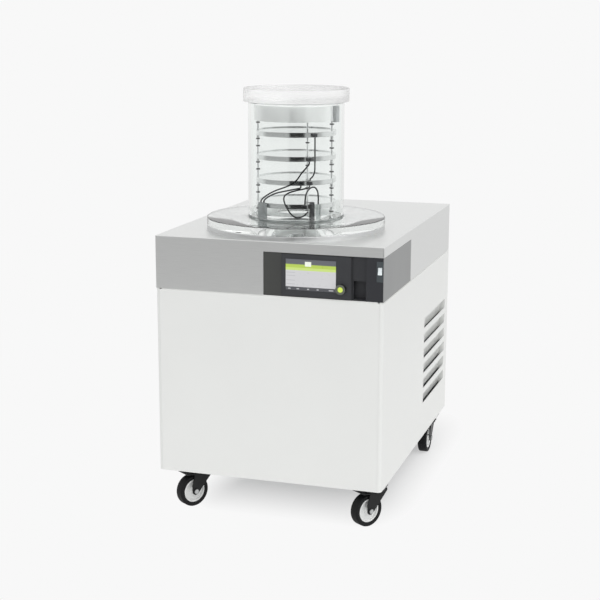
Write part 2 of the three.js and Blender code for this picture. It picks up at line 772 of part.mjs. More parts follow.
add(chamber, "rack_frame", rackFrame(), stainless);
shelfLevels.forEach((level, i) => {
  add(chamber, `shelf_${i + 1}`, shelfBody(level, shelfPlugs[i]), shelfSteel);
});
add(chamber, "rack_cover", rackCoverBody(), shelfSteel);

// ---- Sockets and cables ----

// A socket that stands on the base plate between the rack and the tube, ribbed like a strip plug.
function socketBody({ angle, width, height, slot }) {
  const inner = shelfRadius + socketGap;
  const outer = tubeInner - socketGap;
  const top = plateTop + height;
  const body = radialBlock(inner, outer, width, angle, plateTop, top);
  if (!slot) return body;
  return cut(body, radialBlock(outer - slot, outer + 1, slot, angle, plateTop + 2 * slot, top + 1));
}

const socketMaterials = [greyPlastic, silicone, blackPlastic];
Object.entries(sockets).forEach(([name, socket], i) => {
  add(chamber, name, socketBody(socket), socketMaterials[i]);
});

// Each cable's route, from where it leaves a shelf's socket to where it is plugged in.
const cableRoutes = {
  cable_shelf_1: [
    [89.5, -97, 294.3], [89.5, -97, 280], [89.5, -96.8, 250], [89.5, -96.8, 215], [88.5, -97.5, 188],
    [84, -101.5, 175], [78.5, -106, 168.5], [77.5, -107, 161.8],
  ],
  cable_shelf_2: [
    [75.5, -108, 221.2], [75, -108.4, 214], [66, -114, 200], [55, -119.5, 186], [42, -124.5, 166],
    [28, -128.5, 153], [7, -131.5, 143], [-24, -129.5, 131], [-52, -120.5, 116], [-70, -112.5, 103],
    [-76.6, -109, 96], [-77, -108.7, 90.9],
  ],
  cable_shelf_3: [
    [53.3, -120.3, 147.9], [52, -121.5, 141.5], [36, -129, 137.5], [7, -134.5, 131], [-20, -133.5, 124],
    [-42, -128, 114], [-57, -121.5, 104], [-64, -118, 97], [-64.8, -117.5, 90.9],
  ],
  cable_sensor: [
    [76.3, -105.8, 147.9], [74.5, -108, 142], [60, -117.5, 137.5], [40, -125.5, 133], [19, -130.5, 126],
    [7, -132, 118], [3, -132, 107], [7, -131.7, 90], [16, -130.5, 73], [28, -128, 57],
    [42, -124.5, 49], [54, -119.5, 51], [64, -115, 57], [70, -112.3, 64], [73.6, -110.2, 67.5],
  ],
  cable_bus: [
    [64, -114.5, 88], [64.5, -114, 102], [67, -112.5, 121], [73, -109, 134], [82, -102.5, 142],
    [90, -96, 141], [96, -91, 130], [98.6, -90.3, 112], [98.4, -90.2, 97], [98.4, -90.2, 90],
  ],
};

// A cable's plain tube along its route.
function cableBody(points) {
  const path = new THREE.CatmullRomCurve3(points.map((point) => new THREE.Vector3(...point)));
  const { diameter, sides, stepDiameters } = cable;
  const section = new THREE.Shape(arc(0, 0, diameter / 2, 0, 360 - 360 / sides, sides - 1));
  const steps = Math.ceil(path.getLength() / (stepDiameters * diameter));
  return new THREE.ExtrudeGeometry(section, { extrudePath: path, steps, bevelEnabled: false });
}

for (const [name, points] of Object.entries(cableRoutes)) {
  add(chamber, name, cableBody(points), cableBlack);
}

// ---- Ice condenser and cooling machine, inside the cabinet ----

// The steel vessel that hangs under the worktop's opening, with a rounded bottom edge.
function condenserVessel() {
  const { wall, depth, corner, flange, flangeThickness } = vessel;
  const outer = seatRing.inner;
  const inner = outer - wall;
  const top = hoodTop - hood.sheet;
  const bottom = top - depth;
  const outerCorner = arc(outer - corner, bottom + corner, corner, 0, -90, 3).map((p) => [p.x, p.y]);
  const innerCorner = arc(outer - corner, bottom + corner, corner - wall, -90, 0, 3);
  return turned([
    [inner, top],
    [outer + flange, top],
    [outer + flange, top - flangeThickness],
    [outer, top - flangeThickness],
    ...outerCorner,
    [0, bottom],
    [0, bottom + wall],
    ...innerCorner.map((p) => [p.x, p.y]),
  ], 26).translate(0, chamberY, 0);
}

// A hermetic compressor: a domed can on a foot plate that stands on the left stiffener, with its
// suction and discharge stubs.
function compressorBody() {
  const { radius, height, foot, bend, dome, backMargin } = compressor;
  const floor = castorHeight + tray.sheet + stiffener.height;
  const bottom = floor + foot;
  const top = floor + height;
  const shoulder = arc(radius - dome, top - dome, dome, 0, 90, 3).map((p) => [p.x, p.y]);
  const can = turned([
    [0, bottom],
    [radius - bend, bottom],
    [radius, bottom + bend],
    ...shoulder,
    [0, top],
  ], 20);
  const footprint = roundedOutline(2 * radius + 40, 2 * radius + 20, 16);
  const stubs = pipeStubs.map((stub) => {
    const pipe = alongX(cylinder(stub.radius, radius - 14, radius + stub.length, 10));
    return pipe.translate(0, stub.aside, bottom + stub.rise);
  });
  const y = back - backMargin - radius;
  return join(can, prism(footprint, floor, bottom + overlap), ...stubs).translate(
    -stiffener.spacing / 2,
    y,
    0,
  );
}

const radiatorX = halfWidth - radiator.setback - radiator.thickness / 2;
const radiatorY = middle(louvreRange);
const radiatorBase = castorHeight + tray.sheet;
const fanHeight = radiatorBase + radiator.raise + radiator.height / 2;
const shroudFace = radiatorX - radiator.thickness / 2;
const shroudDepth = fan.depth + 12;
const fanStart = shroudFace - fan.depth - fanMotor.gap;

// The finned condenser behind the louvres, with the fan's shroud and its motor on a cross strut.
function radiatorBody() {
  const { length, thickness, height } = radiator;
  const y = spread(radiatorY, length);
  const z = spread(fanHeight, height);
  const pitch = length / fins.count;
  const plates = Array.from({ length: fins.count }, (_, i) =>
    block(spread(radiatorX, thickness), spread(y[0] + pitch * (i + 0.5), fins.thickness), z),
  );
  const coil = block(spread(radiatorX, fins.core), y, grown(z, -fins.coreInset));
  const ends = y.map((side) =>
    block(spread(radiatorX, thickness + 2), spread(side, fins.endPlate), [radiatorBase, z[1] + 4]),
  );
  const shroudStart = shroudFace - shroudDepth;
  const fanBore = alongX(cylinder(fan.radius + fan.tipGap, 0, shroudDepth + 2, 28));
  const shroud = cut(
    block([shroudStart, shroudFace + overlap], y, z),
    fanBore.translate(shroudStart - 1, radiatorY, fanHeight),
  );
  const motorEnd = shroudStart - 4;
  const motor = alongX(cylinder(fanMotor.radius, motorEnd - fanMotor.length, motorEnd, 16));
  const shaft = alongX(cylinder(fanMotor.shaft, motorEnd - 1, fanStart + fan.depth + 2, 10));
  const strutEnd = motorEnd - 8;
  const strutZ = spread(fanHeight, fanMotor.strut);
  const strut = block([strutEnd - fanMotor.strutSheet, strutEnd], y, strutZ);
  const brackets = [[y[0], y[0] + 10], [y[1] - 10, y[1]]].map((edge) =>
    block([strutEnd - fanMotor.strutSheet, shroudStart + overlap], edge, strutZ),
  );
  const drive = join(motor, shaft).translate(0, radiatorY, fanHeight);
  return join(coil, ...plates, ...ends, shroud, drive, strut, ...brackets);
}

// The fan: twisted blades round a hub that turns on the motor's shaft.
function fanRotor() {
  const { radius, hub, blades, depth, sheet, rootAngle, twist } = fan;
  const root = hub - 2;
  const blade = new THREE.BoxGeometry(radius - root, depth * 0.95, sheet, 3, 1, 1);
  const position = blade.attributes.position;
  const point = new THREE.Vector3();
  const axis = new THREE.Vector3(1, 0, 0);
  for (let i = 0; i < position.count; i += 1) {
    point.fromBufferAttribute(position, i);
    const share = point.x / (radius - root) + 0.5;
    point.applyAxisAngle(axis, THREE.MathUtils.degToRad(rootAngle - twist * share));
    position.setXYZ(i, ...point);
  }
  blade.translate((radius + root) / 2, 0, depth / 2);
  const wings = Array.from({ length: blades }, (_, i) =>
    blade.clone().rotateZ((i * 2 * Math.PI) / blades),
  );
  const barrel = cylinder(hub, 0, depth, 20);
  const bore = cylinder(fanMotor.shaft + clearance, -1, depth + 1, 10);
  return alongX(cut(join(barrel, ...wings), bore)).translate(fanStart, radiatorY, fanHeight);
}

add(freezeDryer, "condenser_vessel", condenserVessel(), stainless);
add(freezeDryer, "compressor", compressorBody(), compressorBlack);
add(freezeDryer, "radiator", radiatorBody(), aluminium);
add(freezeDryer, "fan_rotor", fanRotor(), blackPlastic);

// ---- Rear connections ----

// The vacuum port: a flanged pipe stub for the pump's hose, standing out of the rear panel.
function vacuumPort() {
  const { bore, pipe, collar, flange, length, lip } = port;
  const collarFace = back + clearance;
  const end = back + reach;
  const neck = pipe - clearance;
  const start = collarFace - length;
  return alongY(turned([
    [bore, start],
    [neck, start],
    [neck, collarFace],
    [collar, collarFace],
    [collar, collarFace + lip],
    [neck, collarFace + lip],
    [neck, end - lip - 1],
    [flange, end - lip],
    [flange, end],
    [bore, end],
  ], 20)).translate(portX, 0, portZ);
}

// The mains inlet: a socket with a rectangular cavity and three contact blades.
function mainsInlet() {
  const { width, height, proud, depth, cavity, wall } = inlet;
  const face = back + proud;
  const floor = face - cavity;
  const body = join(
    block(spread(inletX, width), [back + clearance, face], spread(inletZ, height)),
    block(spread(inletX, inletNeck.width), [back - depth, face], spread(inletZ, inletNeck.height)),
  );
  const hollowX = spread(inletX, inletNeck.width - 2 * wall);
  const hollow = block(hollowX, [floor, face + 1], spread(inletZ, inletNeck.height - wall));
  const blades = [-1, 0, 1].map((place) => {
    const rise = place === 0 ? contact.earthRise : -contact.drop;
    const x = spread(inletX + place * contact.pitch, contact.width);
    return block(x, [floor - 1, face - contact.recess], spread(inletZ + rise, contact.height));
  });
  return join(cut(body, hollow), ...blades);
}

add(freezeDryer, "vacuum_port", vacuumPort(), stainless);
add(freezeDryer, "mains_inlet", mainsInlet(), blackPlastic);

// ---- Castors ----

// The bolted plate with the swivel's race under it and the king pin down through the fork's crown.
function castorPlateBody() {
  const { size, thickness, corner, race, raceHeight } = topPlate;
  const { radius, nut, nutHeight } = kingPin;
  const top = castorHeight - clearance;
  const raceTop = top - thickness;
  const raceBottom = raceTop - raceHeight;
  const nutTop = crownTop - fork.sheet - clearance;
  return join(
    prism(roundedOutline(size, size, corner, 2), raceTop, top),
    turned([
      [0, raceTop + overlap],
      [race, raceTop + overlap],
      [race, raceBottom],
      [radius, raceBottom],
      [radius, nutTop],
      [nut, nutTop],
      [nut, nutTop - nutHeight],
      [0, nutTop - nutHeight],
    ], 16),
  );
}

const cheekInner = wheel.width / 2 + fork.sideGap;
const cheekOuter = cheekInner + fork.cheek;
const wheelCentre = new THREE.Vector2(-castor.trail, wheel.radius);

const crownBottom = crownTop - fork.sheet;

// The brake pedal's pin lies close under the crown, at its own distance from the tyre.
const pinHeight = crownBottom - pedal.barrel - pedal.crownGap;
const pinReach = Math.sqrt((wheel.radius + pedal.tyreGap) ** 2 - (pinHeight - wheel.radius) ** 2);
const pedalPivot = new THREE.Vector2(pinReach - castor.trail, pinHeight);

// The swivelling fork: a crown with two triangular cheeks, the wheel's axle between bolt heads, the
// pedal's pin, and a leaf that reaches out over the wheel.
function castorForkBody() {
  const { crown, cheek, tip, axle } = fork;
  const { x: wheelY, y: wheelZ } = wheelCentre;
  const cheekOutline = [
    new THREE.Vector2(crown, crownTop - 1),
    new THREE.Vector2(crown, crownBottom - cheek),
    ...arc(wheelY, wheelZ, tip, -40, -170, 4),
    new THREE.Vector2(wheelY - tip, wheelZ + 1.7 * tip),
    new THREE.Vector2(wheelY, crownTop - 1),
  ];
  const sides = [[-cheekOuter, -cheekInner], [cheekInner, cheekOuter]];
  const cheeks = sides.map((across) => sidePrism(cheekOutline, ...across));
  const end = cheekOuter + bolt.length;
  const axleBar = alongX(cylinder(axle, 1 - end, end - 1, 10)).translate(0, wheelY, wheelZ);
  const headRanges = [[-end, overlap - cheekOuter], [cheekOuter - overlap, end]];
  const heads = headRanges.map((across) =>
    alongX(cylinder(bolt.head, ...across, 6)).translate(0, wheelY, wheelZ),
  );
  const pin = alongX(cylinder(pedal.pin, 1 - cheekOuter, cheekOuter - 1, 8));
  const { width, inner, outer, thickness, rise } = leaf;
  const leafOutline = [
    new THREE.Vector2(-inner, crownTop - thickness),
    new THREE.Vector2(-outer, crownTop - thickness + rise),
    new THREE.Vector2(-outer, crownTop + rise),
    new THREE.Vector2(-inner, crownTop),
  ];
  const body = join(
    cylinder(crown, crownBottom, crownTop, 16),
    ...cheeks,
    axleBar,
    ...heads,
    pin.translate(0, pedalPivot.x, pedalPivot.y),
    sidePrism(leafOutline, -width / 2, width / 2),
  );
  const through = [crownBottom - 1, crownTop + 1];
  const notch = [crown - pedal.notch, crown + 1];
  return cut(
    body,
    cylinder(kingPin.radius + clearance, ...through, 16),
    block(spread(0, pedal.width + 2 * pedal.sideGap), notch, through),
  );
}

const wheelSegments = 20;

// The rubber tyre, round the hub.
function tyreBody() {
  const { radius, width, tyre, shoulder, chamfer } = wheel;
  const half = width / 2;
  return alongX(turned([
    [radius - tyre, chamfer - half],
    [radius - shoulder, -half],
    [radius, shoulder - half],
    [radius, half - shoulder],
    [radius - shoulder, half],
    [radius - tyre, half - chamfer],
  ], wheelSegments)).translate(0, -castor.trail, radius);
}

// The wheel's moulded hub: a rim and a boss on a thin web, bored for the axle.
function hubBody() {
  const { radius, width, tyre, boss, rim, web, chamfer } = wheel;
  const half = width / 2 - chamfer;
  const bossEnd = cheekInner - 2 * clearance;
  const outer = radius - tyre - clearance;
  const bore = fork.axle + clearance;
  const side = (end) => [
    [bore, end * bossEnd],
    [boss, end * bossEnd],
    [boss, (end * web) / 2],
    [outer - rim, (end * web) / 2],
    [outer - rim, end * half],
    [outer, end * half],
  ];
  const profile = [...side(-1), ...side(1).reverse()];
  return alongX(turned(profile, wheelSegments)).translate(0, -castor.trail, radius);
}

// The brake pedal: a bent plate behind the fork that turns on its pin, drawn from the pin. Its lower
// end is the shoe that comes down on the tyre when its upper end is trodden down.
function pedalBody() {
  const upperFace = [[-10.8, -14.5], [-4, -8], [4, 0], [13, 9.5], [24, 18]];
  const lowerFace = [[26, 15.5], [16, 6.5], [7, -3.5], [-2, -12.5], [-9.5, -17.4]];
  const outline = [...lowerFace.reverse(), ...upperFace.reverse()];
  const plate = outline.map(([y, z]) => new THREE.Vector2(y, z).add(pedalPivot));
  const half = pedal.width / 2;
  const place = [0, pedalPivot.x, pedalPivot.y];
  const barrel = alongX(cylinder(pedal.barrel, -half, half, 10)).translate(...place);
  const bore = alongX(cylinder(pedal.pin + clearance, -half - 1, half + 1, 8)).translate(...place);
  return cut(join(sidePrism(plate, -half, half), barrel), bore);
}

// One castor: the plate stays under the tray, and the rest turns about the king pin.
function addCastor(name, x, y, turn) {
  const base = new THREE.Group();
  base.position.set(x, y, 0);
  freezeDryer.add(base);
  add(base, `${name}_castor_plate`, castorPlateBody(), zinc);
  const swivel = new THREE.Group();
  swivel.rotation.z = THREE.MathUtils.degToRad(turn);
  base.add(swivel);
  add(swivel, `${name}_castor_fork`, castorForkBody(), forkBlack);
  add(swivel, `${name}_tyre`, tyreBody(), tyreBlack);
  add(swivel, `${name}_wheel_hub`, hubBody(), hubGrey);
  add(swivel, `${name}_brake_pedal`, pedalBody(), forkBlack);
}

const leftCastors = castor.leftInset - halfWidth;
const rightCastors = halfWidth - castor.rightInset;
const frontCastors = front + castor.frontInset;
const rearCastors = back - castor.rearInset;
addCastor("front_left", leftCastors, frontCastors, castorTurns.front_left);
addCastor("front_right", rightCastors, frontCastors, castorTurns.front_right);
addCastor("rear_left", leftCastors, rearCastors, castorTurns.rear_left);
addCastor("rear_right", rightCastors, rearCastors, castorTurns.rear_right);

export default freezeDryer;
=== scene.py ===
import json
from math import cos, radians, sin
import bpy
from mathutils import Matrix, Quaternion, Vector


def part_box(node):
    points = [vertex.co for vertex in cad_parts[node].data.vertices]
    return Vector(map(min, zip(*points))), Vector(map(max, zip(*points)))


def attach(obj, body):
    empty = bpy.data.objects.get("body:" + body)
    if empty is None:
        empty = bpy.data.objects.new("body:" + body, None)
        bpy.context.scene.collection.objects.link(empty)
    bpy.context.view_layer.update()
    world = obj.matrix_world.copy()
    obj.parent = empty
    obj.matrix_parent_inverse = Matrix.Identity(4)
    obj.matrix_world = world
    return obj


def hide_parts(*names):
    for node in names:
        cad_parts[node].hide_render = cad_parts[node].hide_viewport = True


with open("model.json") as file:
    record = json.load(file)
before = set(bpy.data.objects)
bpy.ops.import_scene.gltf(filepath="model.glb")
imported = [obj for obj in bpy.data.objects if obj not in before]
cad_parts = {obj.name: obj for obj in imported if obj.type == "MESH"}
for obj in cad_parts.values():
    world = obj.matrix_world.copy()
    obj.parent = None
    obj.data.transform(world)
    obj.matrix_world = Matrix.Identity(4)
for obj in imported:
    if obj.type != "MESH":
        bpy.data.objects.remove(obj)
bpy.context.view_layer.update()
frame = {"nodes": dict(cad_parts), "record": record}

nodes = frame["nodes"]
behaviour = frame["record"]["behaviour"]
bodyOfNode = {n: b for b, names in behaviour["bodies"].items() for n in names}
jointNamed = {j["name"]: j for j in behaviour["joints"]}
slotOfNode = {s["node"]: s["material_slot"] for s in frame["record"]["subparts"]}
mm = 0.001
print("frame loaded:", len(nodes), "nodes")

# camera: long lens, seen from the front right and a little above the worktop
camera = {
    "place": (1.2688, -4.1932, 1.5336),
    "looks": (-0.2928, 0.9330, -0.2091),
    "roll": 0.13,  # degrees
    "lens": 80.3,  # mm on a 36 mm sensor
}
cameraData = bpy.data.cameras.new("camera")
cameraData.lens = camera["lens"]
cameraData.sensor_width = 36
cameraData.clip_end = 200
cameraObject = bpy.data.objects.new("camera", cameraData)
bpy.context.scene.collection.objects.link(cameraObject)
cameraObject.rotation_mode = "QUATERNION"
cameraObject.location = camera["place"]
turn = Vector(camera["looks"]).to_track_quat("-Z", "Y")
cameraObject.rotation_quaternion = turn @ Quaternion((0, 0, 1), radians(camera["roll"]))
bpy.context.scene.camera = cameraObject
bpy.context.scene.view_settings.view_transform = "Standard"
cycles = bpy.context.scene.cycles
cycles.max_bounces = cycles.transmission_bounces = 24  # the far side is seen through many clear walls
cycles.glossy_bounces = 8
cycles.transparent_max_bounces = 16

# places that come from the frame
seatLow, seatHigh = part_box("seat_ring")
axisX = (seatLow.x + seatHigh.x) / 2
axisY = (seatLow.y + seatHigh.y) / 2
worktop = seatLow.z


def chamberPoint(x, y, z):
    return Vector((axisX + x * mm, axisY + y * mm, worktop + z * mm))


# the five cables of the shelf rack, as points in mm about the chamber's axis, heights above the worktop
cables = {
    "diameter": 4.5,
    "shelfOneCable": [
        (89.5, -97, 294.3), (89.5, -97, 280), (89.5, -96.8, 250), (89.5, -96.8, 215),
        (88.5, -97.5, 188), (84, -101.5, 175), (78.5, -106, 168.5), (77.5, -107, 161.8),
    ],
    "shelfTwoCable": [
        (75.5, -108, 221.2), (75, -108.4, 214), (66, -114, 200), (55, -119.5, 186),
        (42, -124.5, 166), (28, -128.5, 153), (7, -131.5, 143), (-24, -129.5, 131),
        (-52, -120.5, 116), (-70, -112.5, 103), (-76.6, -109, 96), (-77, -108.7, 90.9),
    ],
    "shelfThreeCable": [
        (53.3, -120.3, 147.9), (52, -121.5, 141.5), (36, -129, 137.5), (7, -134.5, 131),
        (-20, -133.5, 124), (-42, -128, 114), (-57, -121.5, 104), (-64, -118, 97),
        (-64.8, -117.5, 90.9),
    ],
    "sensorCable": [
        (76.3, -105.8, 147.9), (74.5, -108, 142), (60, -117.5, 137.5), (40, -125.5, 133),
        (19, -130.5, 126), (7, -132, 118), (3, -132, 107), (7, -131.7, 90), (16, -130.5, 73),
        (28, -128, 57), (42, -124.5, 49), (54, -119.5, 51), (64, -115, 57), (70, -112.3, 64),
        (73.6, -110.2, 67.5),
    ],
    "busCable": [
        (64, -114.5, 88), (64.5, -114, 102), (67, -112.5, 121), (73, -109, 134),
        (82, -102.5, 142), (90, -96, 141), (96, -91, 130), (98.6, -90.3, 112),
        (98.4, -90.2, 97), (98.4, -90.2, 90),
    ],
}
cableNodes = {
    "shelfOneCable": "cable_shelf_1",
    "shelfTwoCable": "cable_shelf_2",
    "shelfThreeCable": "cable_shelf_3",
    "sensorCable": "cable_sensor",
    "busCable": "cable_bus",
}


def smoothRoute(points, perSpan=10):
    # centripetal curve through the points, the same one that the solid cables follow
    route = []
    for i in range(len(points) - 1):
        b, c = points[i], points[i + 1]
        a = points[i - 1] if i else b * 2 - c
        d = points[i + 2] if i + 2 < len(points) else c * 2 - b
        first, second, third = ((q - p).length ** 0.5 for p, q in ((a, b), (b, c), (c, d)))
        start = ((b - a) / first - (c - a) / (first + second) + (c - b) / second) * second
        end = ((c - b) / second - (d - b) / (second + third) + (d - c) / third) * second
        for k in range(perSpan):
            t = k / perSpan
            route.append(
                b * (2 * t**3 - 3 * t**2 + 1) + start * (t**3 - 2 * t**2 + t)
                + c * (3 * t**2 - 2 * t**3) + end * (t**3 - t**2)
            )
    return route + [points[-1]]


for name, node in cableNodes.items():
    route = smoothRoute([chamberPoint(*p) for p in cables[name]])
    line = bpy.data.curves.new(name, "CURVE")
    line.dimensions = "3D"
    line.bevel_depth = 1.0  # times each point's radius
    line.bevel_resolution = 3
    line.use_fill_caps = True
    spline = line.splines.new("POLY")
    spline.points.add(len(route) - 1)
    for target, point in zip(spline.points, route):
        target.co = (*point, 1)
        target.radius = cables["diameter"] * mm / 2
    cable = bpy.data.objects.new(name, line)
    bpy.context.scene.collection.objects.link(cable)
    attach(cable, "cabinet")
    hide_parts(node)
print("cables laid:", len(cableNodes))


# materials

def toLinear(hexColour):
    channels = [(hexColour >> shift & 255) / 255 for shift in (16, 8, 0)]
    return (*[c / 12.92 if c <= 0.04045 else ((c + 0.055) / 1.055) ** 2.4 for c in channels], 1)


def addNode(tree, kind, inputs=None, **settings):
    node = tree.nodes.new("ShaderNode" + kind)
    for key, value in settings.items():
        setattr(node, key, value)
    for key, value in (inputs or {}).items():
        if isinstance(value, bpy.types.NodeSocket):
            tree.links.new(value, node.inputs[key])
        else:
            node.inputs[key].default_value = value
    return node


def startMaterial(name, **shaderInputs):
    material = bpy.data.materials.new(name)
    material.use_nodes = True
    tree = material.node_tree
    tree.nodes.clear()
    shader = addNode(tree, "BsdfPrincipled", shaderInputs)
    addNode(tree, "OutputMaterial", {"Surface": shader.outputs[0]})
    place = addNode(tree, "TexCoord").outputs["Object"]
    return material, tree, shader, place


def nodeOfType(tree, kind):
    return next(n for n in tree.nodes if n.type == kind)


def grain(tree, place, sizeMm, stretch=(1, 1, 1)):
    # noise whose features are about sizeMm across
    scaled = addNode(tree, "Mapping", {"Vector": place, "Scale": [s / (sizeMm * mm) for s in stretch]})
    noise = addNode(tree, "TexNoise", {"Vector": scaled.outputs[0], "Scale": 1.0, "Detail": 2.0})
    return noise.outputs[0]


def ramp(tree, value, low, high, fromLow=0.3, fromHigh=0.7):
    return addNode(tree, "MapRange", {
        "Value": value, "From Min": fromLow, "From Max": fromHigh, "To Min": low, "To Max": high,
    }).outputs[0]


def blendColours(tree, factor, first, second):
    return addNode(tree, "Mix", {0: factor, 6: toLinear(first), 7: toLinear(second)},
                   data_type="RGBA").outputs[2]


def bumpFrom(tree, shader, height, depthMm):
    bump = addNode(tree, "Bump", {"Height": height, "Distance": depthMm * mm, "Strength": 1.0})
    tree.links.new(bump.outputs[0], shader.inputs["Normal"])


def powderCoat(name, colour, second, peelMm, roughness):
    # polyester powder coat on steel: even, semi-gloss, with a faint orange peel
    cloudMm, peelDepthMm = 180, 0.02
    material, tree, shader, place = startMaterial(name, **{"Roughness": roughness, "IOR": 1.5})
    clouds = grain(tree, place, cloudMm)
    tree.links.new(blendColours(tree, clouds, colour, second), shader.inputs["Base Color"])
    tree.links.new(ramp(tree, clouds, roughness - 0.05, roughness + 0.05), shader.inputs["Roughness"])
    bumpFrom(tree, shader, grain(tree, place, peelMm), peelDepthMm)
    return material


def brushedSteel(name, colour, second, roughness, lineMm=0.5, metallic=1.0):
    # stainless sheet with a long linished grain, so highlights spread across the lines
    slimness, lineDepthMm = 0.008, 0.004  # the first is a line's width over its length
    material, tree, shader, place = startMaterial(name, Metallic=metallic, Roughness=roughness)
    facing = addNode(tree, "SeparateXYZ", {0: addNode(tree, "TexCoord").outputs["Normal"]}).outputs[0]
    sideways = addNode(tree, "Math", {0: facing}, operation="ABSOLUTE").outputs[0]
    onSide = addNode(tree, "Math", {0: sideways, 1: 0.7}, operation="GREATER_THAN").outputs[0]
    alongX = grain(tree, place, lineMm, (slimness, 1, 1))
    alongY = grain(tree, place, lineMm, (1, slimness, 1))
    lines = addNode(tree, "Mix", {0: onSide, 2: alongX, 3: alongY}, data_type="FLOAT").outputs[0]
    tree.links.new(blendColours(tree, ramp(tree, lines, 0, 1), colour, second), shader.inputs["Base Color"])
    tree.links.new(ramp(tree, lines, roughness - 0.04, roughness + 0.06), shader.inputs["Roughness"])
    bumpFrom(tree, shader, lines, lineDepthMm)
    return material


def flakeLacquer(name, colour, second, roughness, flake):
    # pale lacquer with fine metal flake: a soft mirror over an even white
    cloudMm, flakeMm, flakeDepthMm = 40, 1.2, 0.006
    material, tree, shader, place = startMaterial(name, Metallic=flake, Roughness=roughness)
    clouds = grain(tree, place, cloudMm)
    tree.links.new(blendColours(tree, clouds, colour, second), shader.inputs["Base Color"])
    tree.links.new(ramp(tree, clouds, roughness - 0.03, roughness + 0.05), shader.inputs["Roughness"])
    bumpFrom(tree, shader, grain(tree, place, flakeMm), flakeDepthMm)
    return material


def mouldedPlastic(name, colour, second, roughness, textureMm=0.9, depthMm=0.03, specular=0.5):
    # injection-moulded plastic with a fine spark-eroded texture: soft, slightly broken highlights
    cloudMm = 60
    material, tree, shader, place = startMaterial(
        name, **{"Roughness": roughness, "IOR": 1.53, "Specular IOR Level": specular},
    )
    clouds = grain(tree, place, cloudMm)
    tree.links.new(blendColours(tree, clouds, colour, second), shader.inputs["Base Color"])
    tree.links.new(ramp(tree, clouds, roughness - 0.04, roughness + 0.06), shader.inputs["Roughness"])
    bumpFrom(tree, shader, grain(tree, place, textureMm), depthMm)
    return material


def bareMetal(name, colour, second, roughness):
    # plated, drawn or polished metal with faint cloudy wear
    cloudMm, grainMm, grainDepthMm = 25, 2.5, 0.008
    material, tree, shader, place = startMaterial(name, Metallic=1.0, Roughness=roughness)
    clouds = grain(tree, place, cloudMm)
    tree.links.new(blendColours(tree, clouds, colour, second), shader.inputs["Base Color"])
    tree.links.new(ramp(tree, clouds, roughness - 0.05, roughness + 0.07), shader.inputs["Roughness"])
    bumpFrom(tree, shader, grain(tree, place, grainMm), grainDepthMm)
    return material


def clearPlastic(name, tint, roughness, ior):
    # solid clear plastic, polished: light passes through it onto what stands inside
    rippleMm, rippleDepthMm = 90, 0.01
    material, tree, shader, place = startMaterial(name, **{
        "Base Color": toLinear(tint), "Roughness": roughness, "IOR": ior, "Transmission Weight": 1.0,
    })
    bumpFrom(tree, shader, grain(tree, place, rippleMm), rippleDepthMm)
    passes = addNode(tree, "BsdfTransparent", {"Color": toLinear(tint)})
    lamplight = addNode(tree, "LightPath").outputs["Is Shadow Ray"]
    both = addNode(tree, "MixShader", {0: lamplight, 1: shader.outputs[0], 2: passes.outputs[0]})
    tree.links.new(both.outputs[0], nodeOfType(tree, "OUTPUT_MATERIAL").inputs["Surface"])
    return material


def litPlastic(name, colour, glow, strength):
    # a diffusing plastic or display film with light behind it: it glows evenly, with a soft sheen
    roughness, cloudMm = 0.3, 12
    material, tree, shader, place = startMaterial(name, **{
        "Roughness": roughness, "IOR": 1.49, "Emission Strength": strength,
        "Emission Color": toLinear(glow), "Base Color": toLinear(colour),
    })
    tree.links.new(ramp(tree, grain(tree, place, cloudMm), roughness - 0.03, roughness + 0.03),
                   shader.inputs["Roughness"])
    return material


def shadeAlong(material, axis, start, end):
    # its two colours pass into each other along one axis, between two places in metres
    tree = material.node_tree
    along = addNode(tree, "SeparateXYZ", {0: nodeOfType(tree, "TEX_COORD").outputs["Object"]}).outputs[axis]
    tree.links.new(ramp(tree, along, 0.0, 1.0, start, end), nodeOfType(tree, "MIX").inputs[0])


whiteSteel = powderCoat("powderCoatedSteelWhite", 0xE8E9E7, 0xEBECEA, 1.6, 0.42)
greySteel = powderCoat("powderCoatedSteelGrey", 0x8E8F8F, 0x949595, 1.4, 0.5)
hoodSteel = brushedSteel("brushedStainlessSheet", 0xE0E1E0, 0xE8E9E8, 0.34, metallic=0.97)
polishedSteel = bareMetal("electropolishedStainless", 0xD2D4D5, 0xDEDFE0, 0.16)
seatSteel = bareMetal("beadBlastedStainless", 0xCBCCCC, 0xD3D4D4, 0.42)
rodSteel = bareMetal("drawnStainlessRod", 0xF2F3F3, 0xF7F8F8, 0.3)
collarPlastic = mouldedPlastic("machinedAcetalBlack", 0x2A2B2D, 0x323335, 0.4, 0.5, 0.01, 0.3)
shelfMetal = brushedSteel("satinStainlessShelf", 0xEAEBEB, 0xF1F2F2, 0.09, 0.8)
coverMetal = flakeLacquer("silverWhiteLacquer", 0xFCFCFC, 0xFFFFFF, 0.14, 0.25)
graphitePlastic = mouldedPlastic("mouldedAbsGraphite", 0x454644, 0x303135, 0.48, specular=0.3)
blackPlastic = mouldedPlastic("mouldedAbsBlack", 0x27282A, 0x2C2D30, 0.4, 0.6, 0.02, 0.25)
housingPlastic = mouldedPlastic("mouldedAbsCharcoal", 0x38393C, 0x3E3F42, 0.42, 0.6, 0.02, 0.28)
switchPlastic = mouldedPlastic("mouldedNylonSlate", 0x434A4D, 0x495053, 0.45, 0.5, 0.02, 0.35)
# the knob: an olive grey face lightened as painted glow from the lit button, and a near-black second colour
# that is painted shade on its flank
knobPaintedGlowAndShade = mouldedPlastic("mouldedAbsKnobPaintedGlowAndShade", 0x62665C, 0x121314, 0.38, 0.5, 0.02)
greyPlastic = mouldedPlastic("mouldedNylonGrey", 0xA2A5A7, 0xACB0B1, 0.45)
hubPlastic = mouldedPlastic("mouldedPolypropyleneLightGrey", 0xE4E5E4, 0xEAEBEA, 0.45, 1.2, 0.03)
tyreRubber = mouldedPlastic("thermoplasticRubberBlack", 0x0E0F10, 0x131415, 0.6, 1.0, 0.05, 0.2)
